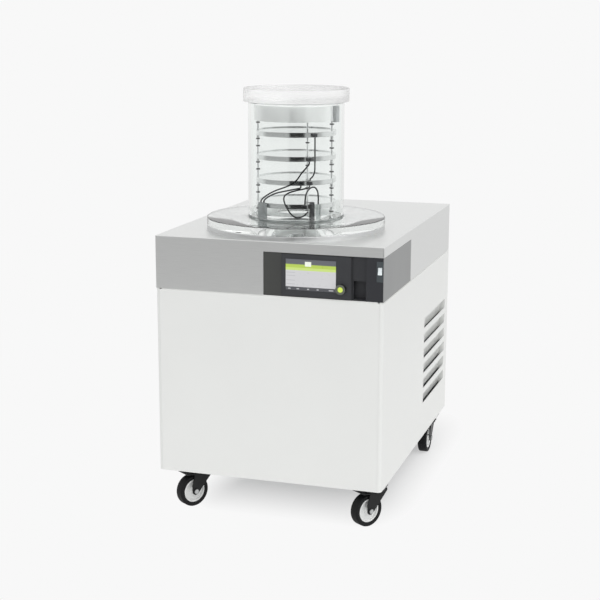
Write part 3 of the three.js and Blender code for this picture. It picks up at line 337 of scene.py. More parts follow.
cableSheath = mouldedPlastic("pvcSheathBlack", 0x101112, 0x161718, 0.45, 0.8, 0.01, 0.25)
castorPaint = mouldedPlastic("paintedSteelBlack", 0x101112, 0x161718, 0.42, 1.1, 0.02, 0.25)
zincPlate = bareMetal("zincPlatedSteel", 0xB4B6B6, 0xC6C8C8, 0.36)
compressorPaint = powderCoat("stoveEnamelBlack", 0x1F2022, 0x26272A, 1.5, 0.3)
finMetal = bareMetal("bareAluminium", 0xC9CBCD, 0xD6D8DA, 0.3)
clearAcrylic = clearPlastic("castAcrylicClear", 0xFBFDFC, 0.0, 1.49)
lidAcrylic = clearPlastic("castAcrylicSatin", 0xFFFFFF, 0.26, 1.45)
siliconeRubber = clearPlastic("siliconeRubberClear", 0xE9EDEC, 0.35, 1.41)
rockerPlastic = mouldedPlastic("polycarbonateWhite", 0xEAF3F6, 0xF0F7F9, 0.3, 0.8, 0.01)
litButton = litPlastic("siliconeKeycapLit", 0xC4D85A, 0xD2E85E, 0.3)
print("materials made:", len(bpy.data.materials))

finishes = {
    "white_paint": whiteSteel, "stainless": hoodSteel, "grey_paint": greySteel,
    "fascia_plastic": graphitePlastic, "black_plastic": blackPlastic, "screen": blackPlastic,
    "lime_plastic": litButton, "switch_white": rockerPlastic, "clear_acrylic": clearAcrylic,
    "silicone": siliconeRubber, "shelf_steel": shelfMetal, "grey_plastic": greyPlastic,
    "cable_black": cableSheath, "zinc": zincPlate, "castor_black": castorPaint,
    "tyre_rubber": tyreRubber, "hub_plastic": hubPlastic, "compressor_paint": compressorPaint,
    "fin_aluminium": finMetal,
}


def paint(piece, material):
    piece.data.materials.clear()
    piece.data.materials.append(material)


for name, node in nodes.items():
    paint(node, finishes[slotOfNode[name]])
for name in cableNodes:
    bpy.data.objects[name].data.materials.append(cableSheath)


# modelling

def selectOnly(piece):
    bpy.ops.object.select_all(action="DESELECT")
    piece.select_set(True)
    bpy.context.view_layer.objects.active = piece


def rounding(radius, height, size, start, end, steps=4):
    # profile points round a corner's middle, angles in degrees
    angles = [radians(start + (end - start) * i / steps) for i in range(steps + 1)]
    return [(radius + size * cos(a), height + size * sin(a)) for a in angles]


def turnedMesh(profile, sides=128, filled=False):
    # rings of (radius, height) in mm, drawn up one after another; a filled one has flat ends
    bpy.ops.object.select_all(action="DESELECT")
    radius, height = profile[0]
    bpy.ops.mesh.primitive_circle_add(vertices=sides, radius=radius * mm, location=(0, 0, height * mm),
                                      fill_type="NGON" if filled else "NOTHING")
    piece = bpy.context.object
    bpy.ops.object.mode_set(mode="EDIT")
    for nextRadius, nextHeight in profile[1:] + ([] if filled else profile[:1]):
        rise = (nextHeight - height) * mm
        bpy.ops.mesh.extrude_region_move(TRANSFORM_OT_translate={"value": (0, 0, rise)})
        if nextRadius != radius:
            share = nextRadius / radius
            bpy.ops.transform.resize(value=(share, share, 1), center_override=(0, 0, nextHeight * mm))
        radius, height = nextRadius, nextHeight
    bpy.ops.mesh.select_all(action="SELECT")
    bpy.ops.mesh.remove_doubles(threshold=0.001 * mm)
    bpy.ops.mesh.normals_make_consistent(inside=False)
    bpy.ops.object.mode_set(mode="OBJECT")
    return piece


def block(low, high, bevelMm):
    # a box between two corners in metres, its edges rounded
    bpy.ops.object.select_all(action="DESELECT")
    middle = (Vector(low) + Vector(high)) / 2
    bpy.ops.mesh.primitive_cube_add(size=1, location=middle)
    piece = bpy.context.object
    piece.scale = Vector(high) - Vector(low)
    bpy.ops.object.transform_apply(location=True, rotation=True, scale=True)
    bpy.ops.object.mode_set(mode="EDIT")
    bpy.ops.mesh.select_all(action="SELECT")
    bpy.ops.mesh.bevel(offset=bevelMm * mm, segments=2, affect="EDGES")
    bpy.ops.object.mode_set(mode="OBJECT")
    return piece


def joined(pieces):
    bpy.ops.object.select_all(action="DESELECT")
    for piece in pieces:
        piece.select_set(True)
    bpy.context.view_layer.objects.active = pieces[0]
    if len(pieces) > 1:
        bpy.ops.object.join()
    return bpy.context.object


def placed(piece, place):
    # move and turn the finished mesh, so that its object stays at the origin
    piece.matrix_world = place @ piece.matrix_world
    selectOnly(piece)
    bpy.ops.object.transform_apply(location=True, rotation=True, scale=True)
    return piece


def copyOf(piece):
    twin = piece.copy()
    twin.data = piece.data.copy()
    bpy.context.scene.collection.objects.link(twin)
    return twin


def settle(piece, name, body, material, standsFor=(), smoothAngle=32):
    piece.name = piece.data.name = name
    selectOnly(piece)
    bpy.ops.object.transform_apply(location=True, rotation=True, scale=True)
    bpy.ops.object.shade_smooth_by_angle(angle=radians(smoothAngle))
    paint(piece, material)
    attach(piece, body)
    if standsFor:
        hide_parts(*standsFor)


def cleanCopy(node):
    # the node's solid with its loose triangles merged into whole faces
    piece = nodes[node].copy()
    piece.data = nodes[node].data.copy()
    for key in list(piece.keys()):
        del piece[key]
    bpy.context.scene.collection.objects.link(piece)
    selectOnly(piece)
    bpy.ops.object.mode_set(mode="EDIT")
    bpy.ops.mesh.select_all(action="SELECT")
    bpy.ops.mesh.remove_doubles(threshold=0.005 * mm)
    bpy.ops.mesh.dissolve_limited(angle_limit=radians(0.5))
    bpy.ops.object.mode_set(mode="OBJECT")
    return piece


def applyModifier(piece, kind, **settings):
    selectOnly(piece)
    modifier = piece.modifiers.new(kind.lower(), kind)
    for key, value in settings.items():
        setattr(modifier, key, value)
    bpy.ops.object.modifier_apply(modifier=modifier.name)


def refine(node, name, bevelMm, smoothAngle=32, material=None):
    # the node again with its edges eased as the real sheet, casting or moulding has them
    piece = cleanCopy(node)
    applyModifier(piece, "BEVEL", width=bevelMm * mm, segments=2, limit_method="ANGLE",
                  angle_limit=radians(40), use_clamp_overlap=True)
    slot = slotOfNode[node]
    settle(piece, name, bodyOfNode[node], material or finishes[slot], [node], smoothAngle)
    applyModifier(piece, "WEIGHTED_NORMAL", keep_sharp=True)
    return piece


chamberAxis = Matrix.Translation((axisX, axisY, worktop))

# cabinet, hood and fascia: folded sheet with eased edges, moulded panel
ownFinish = {"display_bezel": housingPlastic, "switch_frame": switchPlastic}
shadeAlong(graphitePlastic, 0, 0.0, 0.32)  # the fascia darkens towards its right end
for node, name, bevelMm in (
    ("front_panel", "frontPanel", 0.8), ("left_side_panel", "leftSidePanel", 0.4),
    ("right_side_panel", "rightSidePanel", 0.4), ("rear_panel", "rearPanel", 0.5),
    ("base_tray", "baseTray", 0.6), ("worktop_hood", "worktopHood", 0.4),
    ("corner_trim", "cornerTrim", 0.6), ("control_fascia", "controlFascia", 0.7),
    ("display_bezel", "displayHousing", 1.4), ("switch_frame", "switchFrame", 0.9),
    ("rocker_switch", "rockerSwitch", 0.4), ("mains_inlet", "mainsInlet", 0.5),
    ("compressor", "compressor", 0.8), ("radiator", "radiator", 0.3), ("fan_rotor", "fanRotor", 0.3),
):
    refine(node, name, bevelMm, material=ownFinish.get(node))
print("cabinet refined")

# rotary knob whose flank behind its face is painted near-black as painted shade, and whose face is
# lightened as painted glow from the button, and its lit push button with a shallow dish
knob = {"bevel": 0.35, "smooth": 30, "paintedShadeStart": 0.5, "paintedShadeEnd": 0.9}
button = {"radius": 8, "edge": 1.1, "depth": 4.2}
dish = {"rim": 4.8, "shoulder": 4.0, "shoulderDepth": 0.25, "middle": 1.0, "depth": 0.35}
refine("control_knob", "controlKnob", knob["bevel"], knob["smooth"], knobPaintedGlowAndShade)
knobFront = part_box("control_knob")[0].y
# behind the face the knob turns near-black: painted shade on its flank
shadeAlong(knobPaintedGlowAndShade, 1, knobFront + knob["paintedShadeStart"] * mm, knobFront + knob["paintedShadeEnd"] * mm)
buttonLow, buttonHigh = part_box("knob_button")
buttonFace = Matrix.Translation(
    ((buttonLow.x + buttonHigh.x) / 2, buttonLow.y, (buttonLow.z + buttonHigh.z) / 2)
)
cap = turnedMesh(
    [(button["radius"], -button["depth"])]
    + rounding(button["radius"] - button["edge"], -button["edge"], button["edge"], 0, 84)
    + [(dish["rim"], 0.0), (dish["shoulder"], -dish["shoulderDepth"]), (dish["middle"], -dish["depth"])],
    64, filled=True,
)
placed(cap, buttonFace @ Matrix.Rotation(radians(90), 4, "X"))
settle(cap, "knobButton", "knob_button", litButton, ["knob_button"])

# the display's glass with its picture: header, tab, two bands, page with a few rows, foot with marks
screen = {
    # shares of the height, from the top
    "header": 0.165, "bandMiddle": 0.27, "bandEnd": 0.355, "footStart": 0.885,
    "tabTop": 0.07, "tabEnd": 0.22, "rows": (0.43, 0.53, 0.68, 0.8), "rowHeight": 0.018,
    "markRow": (0.93, 0.965),
    # shares of the width, from the left
    "tab": (0.385, 0.51), "row": (0.012, 0.19),
    "marks": ((0.05, 0.1), (0.22, 0.27), (0.43, 0.47), (0.62, 0.66), (0.86, 0.95)),
    "glassEdge": 0.25,  # mm
}
headerFilm = litPlastic("displayFilmSlate", 0x5C5E63, 0x5C5E63, 0.35)
bandFilm = litPlastic("displayFilmLime", 0xA6BC50, 0xB2C85C, 0.3)
paleBandFilm = litPlastic("displayFilmPaleLime", 0xB9CC72, 0xC6D884, 0.3)
pageFilm = litPlastic("displayFilmPale", 0xBEBEC0, 0xCECED0, 0.27)
tabFilm = litPlastic("displayFilmTab", 0xD8DCD0, 0xE6EADC, 0.35)
rowFilm = litPlastic("displayFilmRow", 0xA9A9AC, 0xB4B4B7, 0.3)
footFilm = litPlastic("displayFilmFoot", 0x4E4F53, 0x55565A, 0.25)
glassLow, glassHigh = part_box("display_glass")
glassWidth = glassHigh.x - glassLow.x
glassHeight = glassHigh.z - glassLow.z
acrossCuts = {share for pair in (screen["tab"], screen["row"], *screen["marks"]) for share in pair}
downCuts = {screen["header"], screen["bandEnd"], screen["bandMiddle"], screen["footStart"],
            screen["tabTop"], screen["tabEnd"], *screen["markRow"]}
downCuts |= {row + side * screen["rowHeight"] / 2 for row in screen["rows"] for side in (-1, 1)}
display = cleanCopy("display_glass")
applyModifier(display, "BEVEL", width=screen["glassEdge"] * mm, segments=1, limit_method="ANGLE")
bpy.ops.object.mode_set(mode="EDIT")
for share in sorted(acrossCuts):
    bpy.ops.mesh.select_all(action="SELECT")
    bpy.ops.mesh.bisect(plane_co=(glassLow.x + share * glassWidth, 0, 0), plane_no=(1, 0, 0))
for share in sorted(downCuts):
    bpy.ops.mesh.select_all(action="SELECT")
    bpy.ops.mesh.bisect(plane_co=(0, 0, glassHigh.z - share * glassHeight), plane_no=(0, 0, 1))
bpy.ops.object.mode_set(mode="OBJECT")
settle(display, "displayGlass", "cabinet", housingPlastic, ["display_glass"])
films = [headerFilm, bandFilm, paleBandFilm, pageFilm, tabFilm, rowFilm, footFilm]
for film in films:
    display.data.materials.append(film)


def filmAt(across, down):
    onTab = screen["tab"][0] < across < screen["tab"][1]
    if onTab and screen["tabTop"] < down < screen["tabEnd"]:
        return tabFilm
    if down < screen["header"]:
        return headerFilm
    if down < screen["bandEnd"]:
        return bandFilm if down < screen["bandMiddle"] else paleBandFilm
    if down > screen["footStart"]:
        low, high = screen["markRow"]
        onMark = low < down < high and any(a < across < b for a, b in screen["marks"])
        return rowFilm if onMark else footFilm
    inRow = any(abs(down - row) < screen["rowHeight"] / 2 for row in screen["rows"])
    return rowFilm if inRow and screen["row"][0] < across < screen["row"][1] else pageFilm


for face in display.data.polygons:
    if face.normal.y < -0.9:  # the front only, not its eased edges
        across = (face.center.x - glassLow.x) / glassWidth
        down = (glassHigh.z - face.center.z) / glassHeight
        face.material_index = 1 + films.index(filmAt(across, down))
print("controls made")

# seat ring, clear base plate, seals, tube and lid, about the chamber's axis
seat = {"radius": 281, "inner": 128, "height": 14, "edge": 2}
plate = {
    "inner": 96, "low": 14.3, "high": 38,  # clear of the ring below by a hair
    "edge": 3, "boreEdge": 1.5, "ease": 0.5,
}
tube = {"radius": 150, "wall": 8, "low": 41, "high": 393, "edge": 0.6}
seal = {"thickness": 3, "lap": 1, "bead": 0.7, "clear": 0.15, "smooth": 50}
lid = {"radius": 165, "low": 396, "high": 438, "edge": 5, "ease": 1, "spigot": 140.7, "spigotDepth": 5}

ring = turnedMesh(
    [(seat["inner"], 0), (seat["radius"], 0)]
    + rounding(seat["radius"] - seat["edge"], seat["height"] - seat["edge"], seat["edge"], 0, 90)
    + [(seat["inner"], seat["height"])]
)
settle(placed(ring, chamberAxis), "seatRing", "cabinet", seatSteel, ["seat_ring"])

basePlate = turnedMesh(
    [(plate["inner"], plate["low"]), (seat["radius"] - plate["ease"], plate["low"]),
     (seat["radius"], plate["low"] + plate["ease"])]
    + rounding(seat["radius"] - plate["edge"], plate["high"] - plate["edge"], plate["edge"], 0, 90, 6)
    + rounding(plate["inner"] + plate["boreEdge"], plate["high"] - plate["boreEdge"], plate["boreEdge"],
               90, 180)
)
settle(placed(basePlate, chamberAxis), "clearBasePlate", "cabinet", clearAcrylic,
       ["chamber_base_plate"])


def gasket(name, low, node):
    outer = tube["radius"] + seal["lap"] - seal["bead"]
    inner = tube["radius"] - tube["wall"] - seal["lap"] + seal["bead"]
    under, over = low + seal["clear"], low + seal["thickness"] - seal["clear"]
    middle = (under + over) / 2
    piece = turnedMesh([
        (inner, under), (outer, under), (outer + seal["bead"], middle), (outer, over),
        (inner, over), (inner - seal["bead"], middle),
    ])
    settle(placed(piece, chamberAxis), name, "cabinet", siliconeRubber, [node],
           seal["smooth"])


gasket("baseSeal", plate["high"], "base_seal")
gasket("tubeSeal", tube["high"], "tube_seal")

tubeInner = tube["radius"] - tube["wall"]
tubeWall = turnedMesh([
    (tubeInner + tube["edge"], tube["low"]), (tube["radius"] - tube["edge"], tube["low"]),
    (tube["radius"], tube["low"] + tube["edge"]), (tube["radius"], tube["high"] - tube["edge"]),
    (tube["radius"] - tube["edge"], tube["high"]), (tubeInner + tube["edge"], tube["high"]),
    (tubeInner, tube["high"] - tube["edge"]), (tubeInner, tube["low"] + tube["edge"]),
])
settle(placed(tubeWall, chamberAxis), "chamberTube", "cabinet", clearAcrylic,
       ["chamber_tube"])

spigotLow = lid["low"] - lid["spigotDepth"]
lidBody = turnedMesh(
    [(lid["spigot"] - lid["ease"], spigotLow), (lid["spigot"], spigotLow + lid["ease"]),
     (lid["spigot"], lid["low"]), (lid["radius"] - lid["ease"], lid["low"]),
     (lid["radius"], lid["low"] + lid["ease"])]
    + rounding(lid["radius"] - lid["edge"], lid["high"] - lid["edge"], lid["edge"], 0, 90, 6),
    filled=True,
)
settle(placed(lidBody, chamberAxis), "chamberLid", "cabinet", lidAcrylic,
       ["chamber_lid"])
print("chamber made")

# shelf rack: base ring, three rods with sleeves and collars, four shelves, cover
rack = {
    "levels": (308, 235, 162, 89), "radius": 125, "thickness": 15, "rim": 3, "rimWall": 2,
    "lowEase": 1, "topEase": 0.5, "rimEase": 0.4,
    "rodCircle": 122, "rodAngles": (190, 90, -10), "rod": 3, "notch": 3.6, "top": 386,
    "foot": 7, "footLevel": 38, "ringLow": 50, "ringHigh": 53, "ringInner": 60, "smooth": 28,
}
sleeve = {"radius": 5, "collar": 6.5, "collarHeight": 4, "below": 17, "above": 23, "ease": 0.4}
plug = {
    "angles": ((-47.5,), (-55,), (-54, -66), (-61,)),  # on each shelf's edge, from the top
    "width": 15, "height": 11, "inset": 3, "reach": 10, "drop": 2, "ease": 1.2,
}


def atAngle(radius, angle):
    return Matrix.Translation((radius * cos(radians(angle)), radius * sin(radians(angle)), 0))


def radialBlock(inner, outer, width, angle, low, high, bevelMm):
    # a block that looks outwards from the chamber's axis
    piece = block((inner * mm, -width * mm / 2, low * mm), (outer * mm, width * mm / 2, high * mm), bevelMm)
    return placed(piece, Matrix.Rotation(radians(angle), 4, "Z"))


def disc(radius, low, high, ease):
    # the outline of a flat disc, its two edges eased
    return [(radius - ease, low), (radius, low + ease), (radius, high - ease), (radius - ease, high)]


def rodProfile():
    rod, ease, tall = rack["rod"], sleeve["ease"], sleeve["collarHeight"]
    foot = rack["footLevel"]
    profile = [(rack["foot"] - ease, foot), (rack["foot"], foot + ease),
               (rack["foot"], foot + tall - ease), (rack["foot"] - ease, foot + tall), (rod, foot + tall)]
    for level in sorted(rack["levels"]):
        underShelf = level - rack["thickness"]
        low = underShelf - sleeve["below"]
        high = level + sleeve["above"]
        profile += [(rod, low)] + disc(sleeve["collar"], low, low + tall, ease)
        profile += [(sleeve["radius"], low + tall), (sleeve["radius"], underShelf), (rod, underShelf)]
        profile += [(rod, high - tall)] + disc(sleeve["collar"], high - tall, high, ease) + [(rod, high)]
    return profile + [(rod, rack["top"] - ease), (rod - ease, rack["top"])]


firstRod = turnedMesh(rodProfile(), 24, filled=True)
rods = [placed(copyOf(firstRod), atAngle(rack["rodCircle"] * mm, a)) for a in rack["rodAngles"]]
bpy.data.objects.remove(firstRod)
baseRing = turnedMesh([
    (rack["ringInner"], rack["ringLow"]), (rack["radius"], rack["ringLow"]),
    (rack["radius"], rack["ringHigh"]), (rack["ringInner"], rack["ringHigh"]),
])
rackFrame = placed(joined([baseRing] + rods), chamberAxis)
settle(rackFrame, "rackFrame", "cabinet", rodSteel, ["rack_frame"], rack["smooth"])

# the collars on the rods are black
rackFrame.data.materials.append(collarPlastic)
slack = 0.1
collarStarts = [level - rack["thickness"] - sleeve["below"] for level in rack["levels"]]
collarStarts += [level + sleeve["above"] - sleeve["collarHeight"] for level in rack["levels"]]
rodPlaces = [chamberAxis @ atAngle(rack["rodCircle"] * mm, a).translation for a in rack["rodAngles"]]
for face in rackFrame.data.polygons:
    height = (face.center.z - worktop) / mm
    fromRod = min((face.center.xy - rodPlace.xy).length for rodPlace in rodPlaces)
    onCollar = any(-slack < height - start < sleeve["collarHeight"] + slack for start in collarStarts)
    if onCollar and fromRod < (sleeve["collar"] + slack) * mm:
        face.material_index = 1

# the shelves, cut back round the rods, each with its cable plugs
notchReach = 40
notchTool = joined([
    placed(turnedMesh([(rack["notch"], -notchReach), (rack["notch"], notchReach)], 20, filled=True),
           atAngle(rack["rodCircle"] * mm, a)) for a in rack["rodAngles"]
])
for i, level in enumerate(rack["levels"]):
    radius, low, rimInside = rack["radius"], level - rack["thickness"], rack["radius"] - rack["rimWall"]
    lowEase, topEase, rimEase = rack["lowEase"], rack["topEase"], rack["rimEase"]
    shelf = turnedMesh(
        [(radius - lowEase, low), (radius, low + lowEase), (radius, level - topEase),
         (radius - topEase, level), (rimInside + rimEase, level), (rimInside, level - rimEase),
         (rimInside, level - rack["rim"] + lowEase), (rimInside - lowEase, level - rack["rim"])],
        filled=True,
    )
    notchTool.location.z = level * mm
    bpy.context.view_layer.update()
    applyModifier(shelf, "BOOLEAN", operation="DIFFERENCE", solver="EXACT", object=notchTool)
    plugs = [
        radialBlock(radius - plug["inset"], radius + plug["reach"], plug["width"], a,
                    low + plug["drop"], low + plug["drop"] + plug["height"], plug["ease"])
        for a in plug["angles"][i]
    ]
    plugBody = placed(joined(plugs), chamberAxis)
    settle(plugBody, f"shelfPlug{i + 1}", "cabinet", blackPlastic)
    settle(placed(shelf, chamberAxis), f"shelf{i + 1}", "cabinet", shelfMetal,
           [f"shelf_{i + 1}"], rack["smooth"])
bpy.data.objects.remove(notchTool)

# the rack's cover is a pressed pan upside down, with a catch block on its side
pan = {"radius": 131, "low": 339, "under": 386.3, "high": 387.8, "sheet": 1.5, "bend": 3}
catch = {"angle": -10, "outer": 140, "width": 24, "low": 336, "high": 386, "ease": 2}
panInside = pan["radius"] - pan["sheet"]
panBody = turnedMesh(
    [(pan["radius"] - pan["bend"], pan["under"]), (panInside, pan["under"] - pan["bend"]),
     (panInside, pan["low"]), (pan["radius"], pan["low"])]
    + rounding(pan["radius"] - pan["bend"], pan["high"] - pan["bend"], pan["bend"], 0, 90),
    filled=True,
)
settle(placed(panBody, chamberAxis), "rackCover", "cabinet", coverMetal, ["rack_cover"])
catchBody = radialBlock(panInside, catch["outer"], catch["width"], catch["angle"], catch["low"],
                        catch["high"], catch["ease"])
settle(placed(catchBody, chamberAxis), "coverCatch", "cabinet", greyPlastic)
print("rack made")

# sockets on the base plate, between the rack and the tube
socket = {
    "inner": 127.5, "outer": 139.5, "foot": 38, "ease": 1.0, "slimmer": 1,
    "pitch": 6.5, "firstRib": 4, "ribMargin": 6, "rib": 2.2, "ribDepth": 3, "ribProud": 0.9, "ribEase": 0.5,
}
for name, node, angle, width, height, material in (
    ("connectorLeft", "connector_left", -122, 30, 52, greyPlastic),
    ("connectorRight", "connector_right", -42.5, 12, 51, siliconeRubber),
    ("busPlug", "bus_plug", -51.5, 14, 59, blackPlastic),
):
    foot, bodyOuter = socket["foot"], socket["outer"] - socket["ribProud"]
    parts = [radialBlock(socket["inner"], bodyOuter, width - socket["slimmer"], angle,
                         foot, foot + height, socket["ease"])]
    for i in range(int((height - socket["ribMargin"]) / socket["pitch"])):
        low = foot + socket["firstRib"] + i * socket["pitch"]
        parts.append(radialBlock(bodyOuter - socket["ribDepth"], socket["outer"], width, angle,
                                 low, low + socket["rib"], socket["ribEase"]))
    settle(placed(joined(parts), chamberAxis), name, "cabinet", material, [node])
print("sockets made")

# vacuum port and condenser vessel
port = {
    "bore": 12.5, "pipe": 14.7, "collar": 26, "flange": 20, "lip": 3, "behind": 25.7, "proud": 14,
    "clear": 0.3, "ease": 0.6, "fillet": 1,
}
portLow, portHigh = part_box("vacuum_port")
portPlace = Matrix.Translation(((portLow.x + portHigh.x) / 2, portHigh.y, (portLow.z + portHigh.z) / 2))
lip, ease, fillet = port["lip"], port["ease"], port["fillet"]
onPanel = port["clear"] - port["proud"]  # the collar's side against the rear panel
stub = turnedMesh(
    [(port["bore"], onPanel - port["behind"]), (port["pipe"], onPanel - port["behind"]),
     (port["pipe"], onPanel), (port["collar"] - ease, onPanel), (port["collar"], onPanel + ease),
     (port["collar"], onPanel + lip - ease), (port["collar"] - ease, onPanel + lip),
     (port["pipe"] + fillet, onPanel + lip), (port["pipe"], onPanel + lip + fillet),
     (port["pipe"], -lip - fillet), (port["flange"], -lip), (port["flange"], -ease),
     (port["flange"] - ease, 0), (port["bore"] + ease, 0), (port["bore"], -ease)],
    96,
)
placed(stub, portPlace @ Matrix.Rotation(radians(-90), 4, "X"))
settle(stub, "vacuumPort", "cabinet", polishedSteel, ["vacuum_port"])

vessel = {
    "outer": 128, "wall": 3, "low": -332, "high": -2, "corner": 30, "flange": 162, "plate": 4,
    "bottomRing": 30,  # a ring inside the flat bottom, which its two end faces fill
}
cornerRadius, cornerHeight = vessel["outer"] - vessel["corner"], vessel["low"] + vessel["corner"]
underFlange = vessel["high"] - vessel["plate"]
shell = turnedMesh(
    [(vessel["bottomRing"], vessel["low"] + vessel["wall"])]
    + rounding(cornerRadius, cornerHeight, vessel["corner"] - vessel["wall"], -90, 0)
    + [(vessel["outer"] - vessel["wall"], vessel["high"]), (vessel["flange"], vessel["high"]),
       (vessel["flange"], underFlange), (vessel["outer"], underFlange)]
    + rounding(cornerRadius, cornerHeight, vessel["corner"], 0, -90)
    + [(vessel["bottomRing"], vessel["low"])],
    filled=True,
)
settle(placed(shell, chamberAxis), "condenserVessel", "cabinet", polishedSteel,
       ["condenser_vessel"])
print("port and vessel made")

# castors: each wheel is modelled once about its axle and copied to the four axles
wheel = {
    "radius": 51, "half": 16, "tyre": 13.5, "wall": 9, "shoulder": 5, "chamfer": 2, "gap": 0.3,
    "groove": 0.6, "grooveLip": 1.2, "grooveDepth": 0.5,  # half widths and depth, round the tread's middle
}
hub = {"bore": 4.3, "boss": 11, "bossEnd": 18.4, "rim": 4.5, "web": 12, "ease": 0.8, "fillet": 2}
axleHead = {"start": 22.3, "reach": 9.5}  # the part of the fork piece that is the axle's bolt head
hubOuter = wheel["radius"] - wheel["tyre"] - wheel["gap"]


def tyreSide(end):
    # half of the tyre's outline, from the hub out to the tread's middle
    tread, half, shoulder = wheel["radius"], wheel["half"], wheel["shoulder"]
    profile = (
        [(tread - wheel["tyre"], half - wheel["chamfer"]), (tread - wheel["wall"], half)]
        + rounding(tread - shoulder, half - shoulder, shoulder, 90, 0, 5)
        + [(tread, wheel["grooveLip"]), (tread - wheel["grooveDepth"], wheel["groove"])]
    )
    return [(r, end * z) for r, z in profile]


def hubSide(end):
    ease, fillet, web = hub["ease"], hub["fillet"], hub["web"] / 2
    rimEnd, rimInside = wheel["half"] - wheel["chamfer"], hubOuter - hub["rim"]
    profile = [
        (hub["bore"], hub["bossEnd"]), (hub["boss"] - ease, hub["bossEnd"]),
        (hub["boss"], hub["bossEnd"] - ease), (hub["boss"], web + fillet), (hub["boss"] + fillet, web),
        (rimInside - fillet, web), (rimInside, web + fillet), (rimInside, rimEnd - ease),
        (rimInside + ease, rimEnd), (hubOuter - ease, rimEnd), (hubOuter, rimEnd - ease),
    ]
    return [(r, end * z) for r, z in profile]


tyreMesh = turnedMesh(tyreSide(-1) + tyreSide(1)[::-1], 96)
hubMesh = turnedMesh(hubSide(-1) + hubSide(1)[::-1], 64)
for corner in ("front_left", "front_right", "rear_left", "rear_right"):
    front, side = corner.split("_")
    label = front + side.capitalize()
    spin = jointNamed[corner + "_wheel_spin"]
    axleWay = Vector(spin["axis"])
    axle = Matrix.Translation(spin["pos_m"]) @ axleWay.to_track_quat("Z", "Y").to_matrix().to_4x4()
    settle(placed(copyOf(tyreMesh), axle), label + "Tyre", corner + "_wheel", tyreRubber,
           [corner + "_tyre"])
    settle(placed(copyOf(hubMesh), axle), label + "Hub", corner + "_wheel", hubPlastic,
           [corner + "_wheel_hub"])
    fork = refine(corner + "_castor_fork", label + "Fork", 0.6)
    fork.data.materials.append(zincPlate)
    for face in fork.data.polygons:
        fromHub = face.center - axle.translation
        along, across = abs(fromHub.dot(axleWay)), fromHub.cross(axleWay).length
        if along > axleHead["start"] * mm and across < axleHead["reach"] * mm:
            face.material_index = 1
    refine(corner + "_castor_plate", label + "Plate", 0.3)
    refine(corner + "_brake_pedal", label + "Pedal", 0.6)
for leftover in (tyreMesh, hubMesh):
    bpy.data.objects.remove(leftover)
print("castors made")

# floor, light and backdrop: the floor fades into the backdrop, which is the same pale grey; a painted glow
# on the floor lightens the machine's real shadow, a little within a box under it and wholly further out
floor = {
    "radius": 4.0, "fadeStart": 1.6, "fadeEnd": 3.4, "colour": 0xF4F4F4, "pale": 0xF8F8F8,
    # where the shadow is kept, in metres, and how far out the painted glow turns the floor to the
    # backdrop's own pale grey
    "shadeMiddle": (0.05, 0.17, 0.0), "shadeHalf": (0.235, 0.34, 0.0), "shadeReach": (0.13, 0.3),
    "paintedGlowNear": 0.38,
}
bpy.ops.object.select_all(action="DESELECT")
bpy.ops.mesh.primitive_circle_add(vertices=96, radius=floor["radius"], fill_type="NGON", location=(0, 0, 0))
floorDisc = bpy.context.object
floorDisc.name = "floor"
floorMaterial, floorTree, floorShader, floorPlace = startMaterial("paleStudioFloor", **{
    "Base Color": toLinear(floor["colour"]), "Roughness": 0.9, "Specular IOR Level": 0.0,
})
rays = addNode(floorTree, "LightPath").outputs
looksAt = addNode(floorTree, "Math", {0: rays["Is Camera Ray"], 1: rays["Is Glossy Ray"]},
                  operation="MAXIMUM")
looksAt = addNode(floorTree, "Math", {0: looksAt.outputs[0], 1: rays["Is Transmission Ray"]},
                  operation="MAXIMUM")
offCentre = addNode(floorTree, "VectorMath", {0: floorPlace, 1: floor["shadeMiddle"]}, operation="SUBTRACT")
offCentre = addNode(floorTree, "VectorMath", {0: offCentre.outputs[0]}, operation="ABSOLUTE")
outside = addNode(floorTree, "VectorMath", {0: offCentre.outputs[0], 1: floor["shadeHalf"]},
                  operation="SUBTRACT")
outside = addNode(floorTree, "VectorMath", {0: outside.outputs[0]}, operation="MAXIMUM")
reach = (1 / floor["shadeReach"][0], 1 / floor["shadeReach"][1], 0)
outside = addNode(floorTree, "VectorMath", {0: outside.outputs[0], 1: reach}, operation="MULTIPLY")
outside = addNode(floorTree, "VectorMath", {0: outside.outputs[0]}, operation="LENGTH").outputs["Value"]
# share of painted glow: partial within the shadow box, rising to full further out, so the real shadow is
# lightened and cut short
paintedGlowShare = ramp(floorTree, outside, floor["paintedGlowNear"], 1.0, 0.0, 1.0)
share = addNode(floorTree, "Math", {0: looksAt.outputs[0], 1: paintedGlowShare}, operation="MULTIPLY")
# painted light: emission that camera, mirror and glass rays see on the floor instead of its lit and shaded
# colour
glow = addNode(floorTree, "Emission", {"Color": toLinear(floor["pale"]), "Strength": 1.0})
lit = addNode(floorTree, "MixShader", {0: share.outputs[0], 1: floorShader.outputs[0], 2: glow.outputs[0]})
away = addNode(floorTree, "VectorMath", {0: floorPlace}, operation="LENGTH").outputs["Value"]
fade = addNode(floorTree, "MapRange", {
    "Value": away, "From Min": floor["fadeStart"], "From Max": floor["fadeEnd"], "To Min": 0, "To Max": 1,
}, interpolation_type="SMOOTHSTEP")
gone = addNode(floorTree, "BsdfTransparent")
faded = addNode(floorTree, "MixShader", {0: fade.outputs[0], 1: lit.outputs[0], 2: gone.outputs[0]})
floorTree.links.new(faded.outputs[0], nodeOfType(floorTree, "OUTPUT_MATERIAL").inputs["Surface"])
paint(floorDisc, floorMaterial)

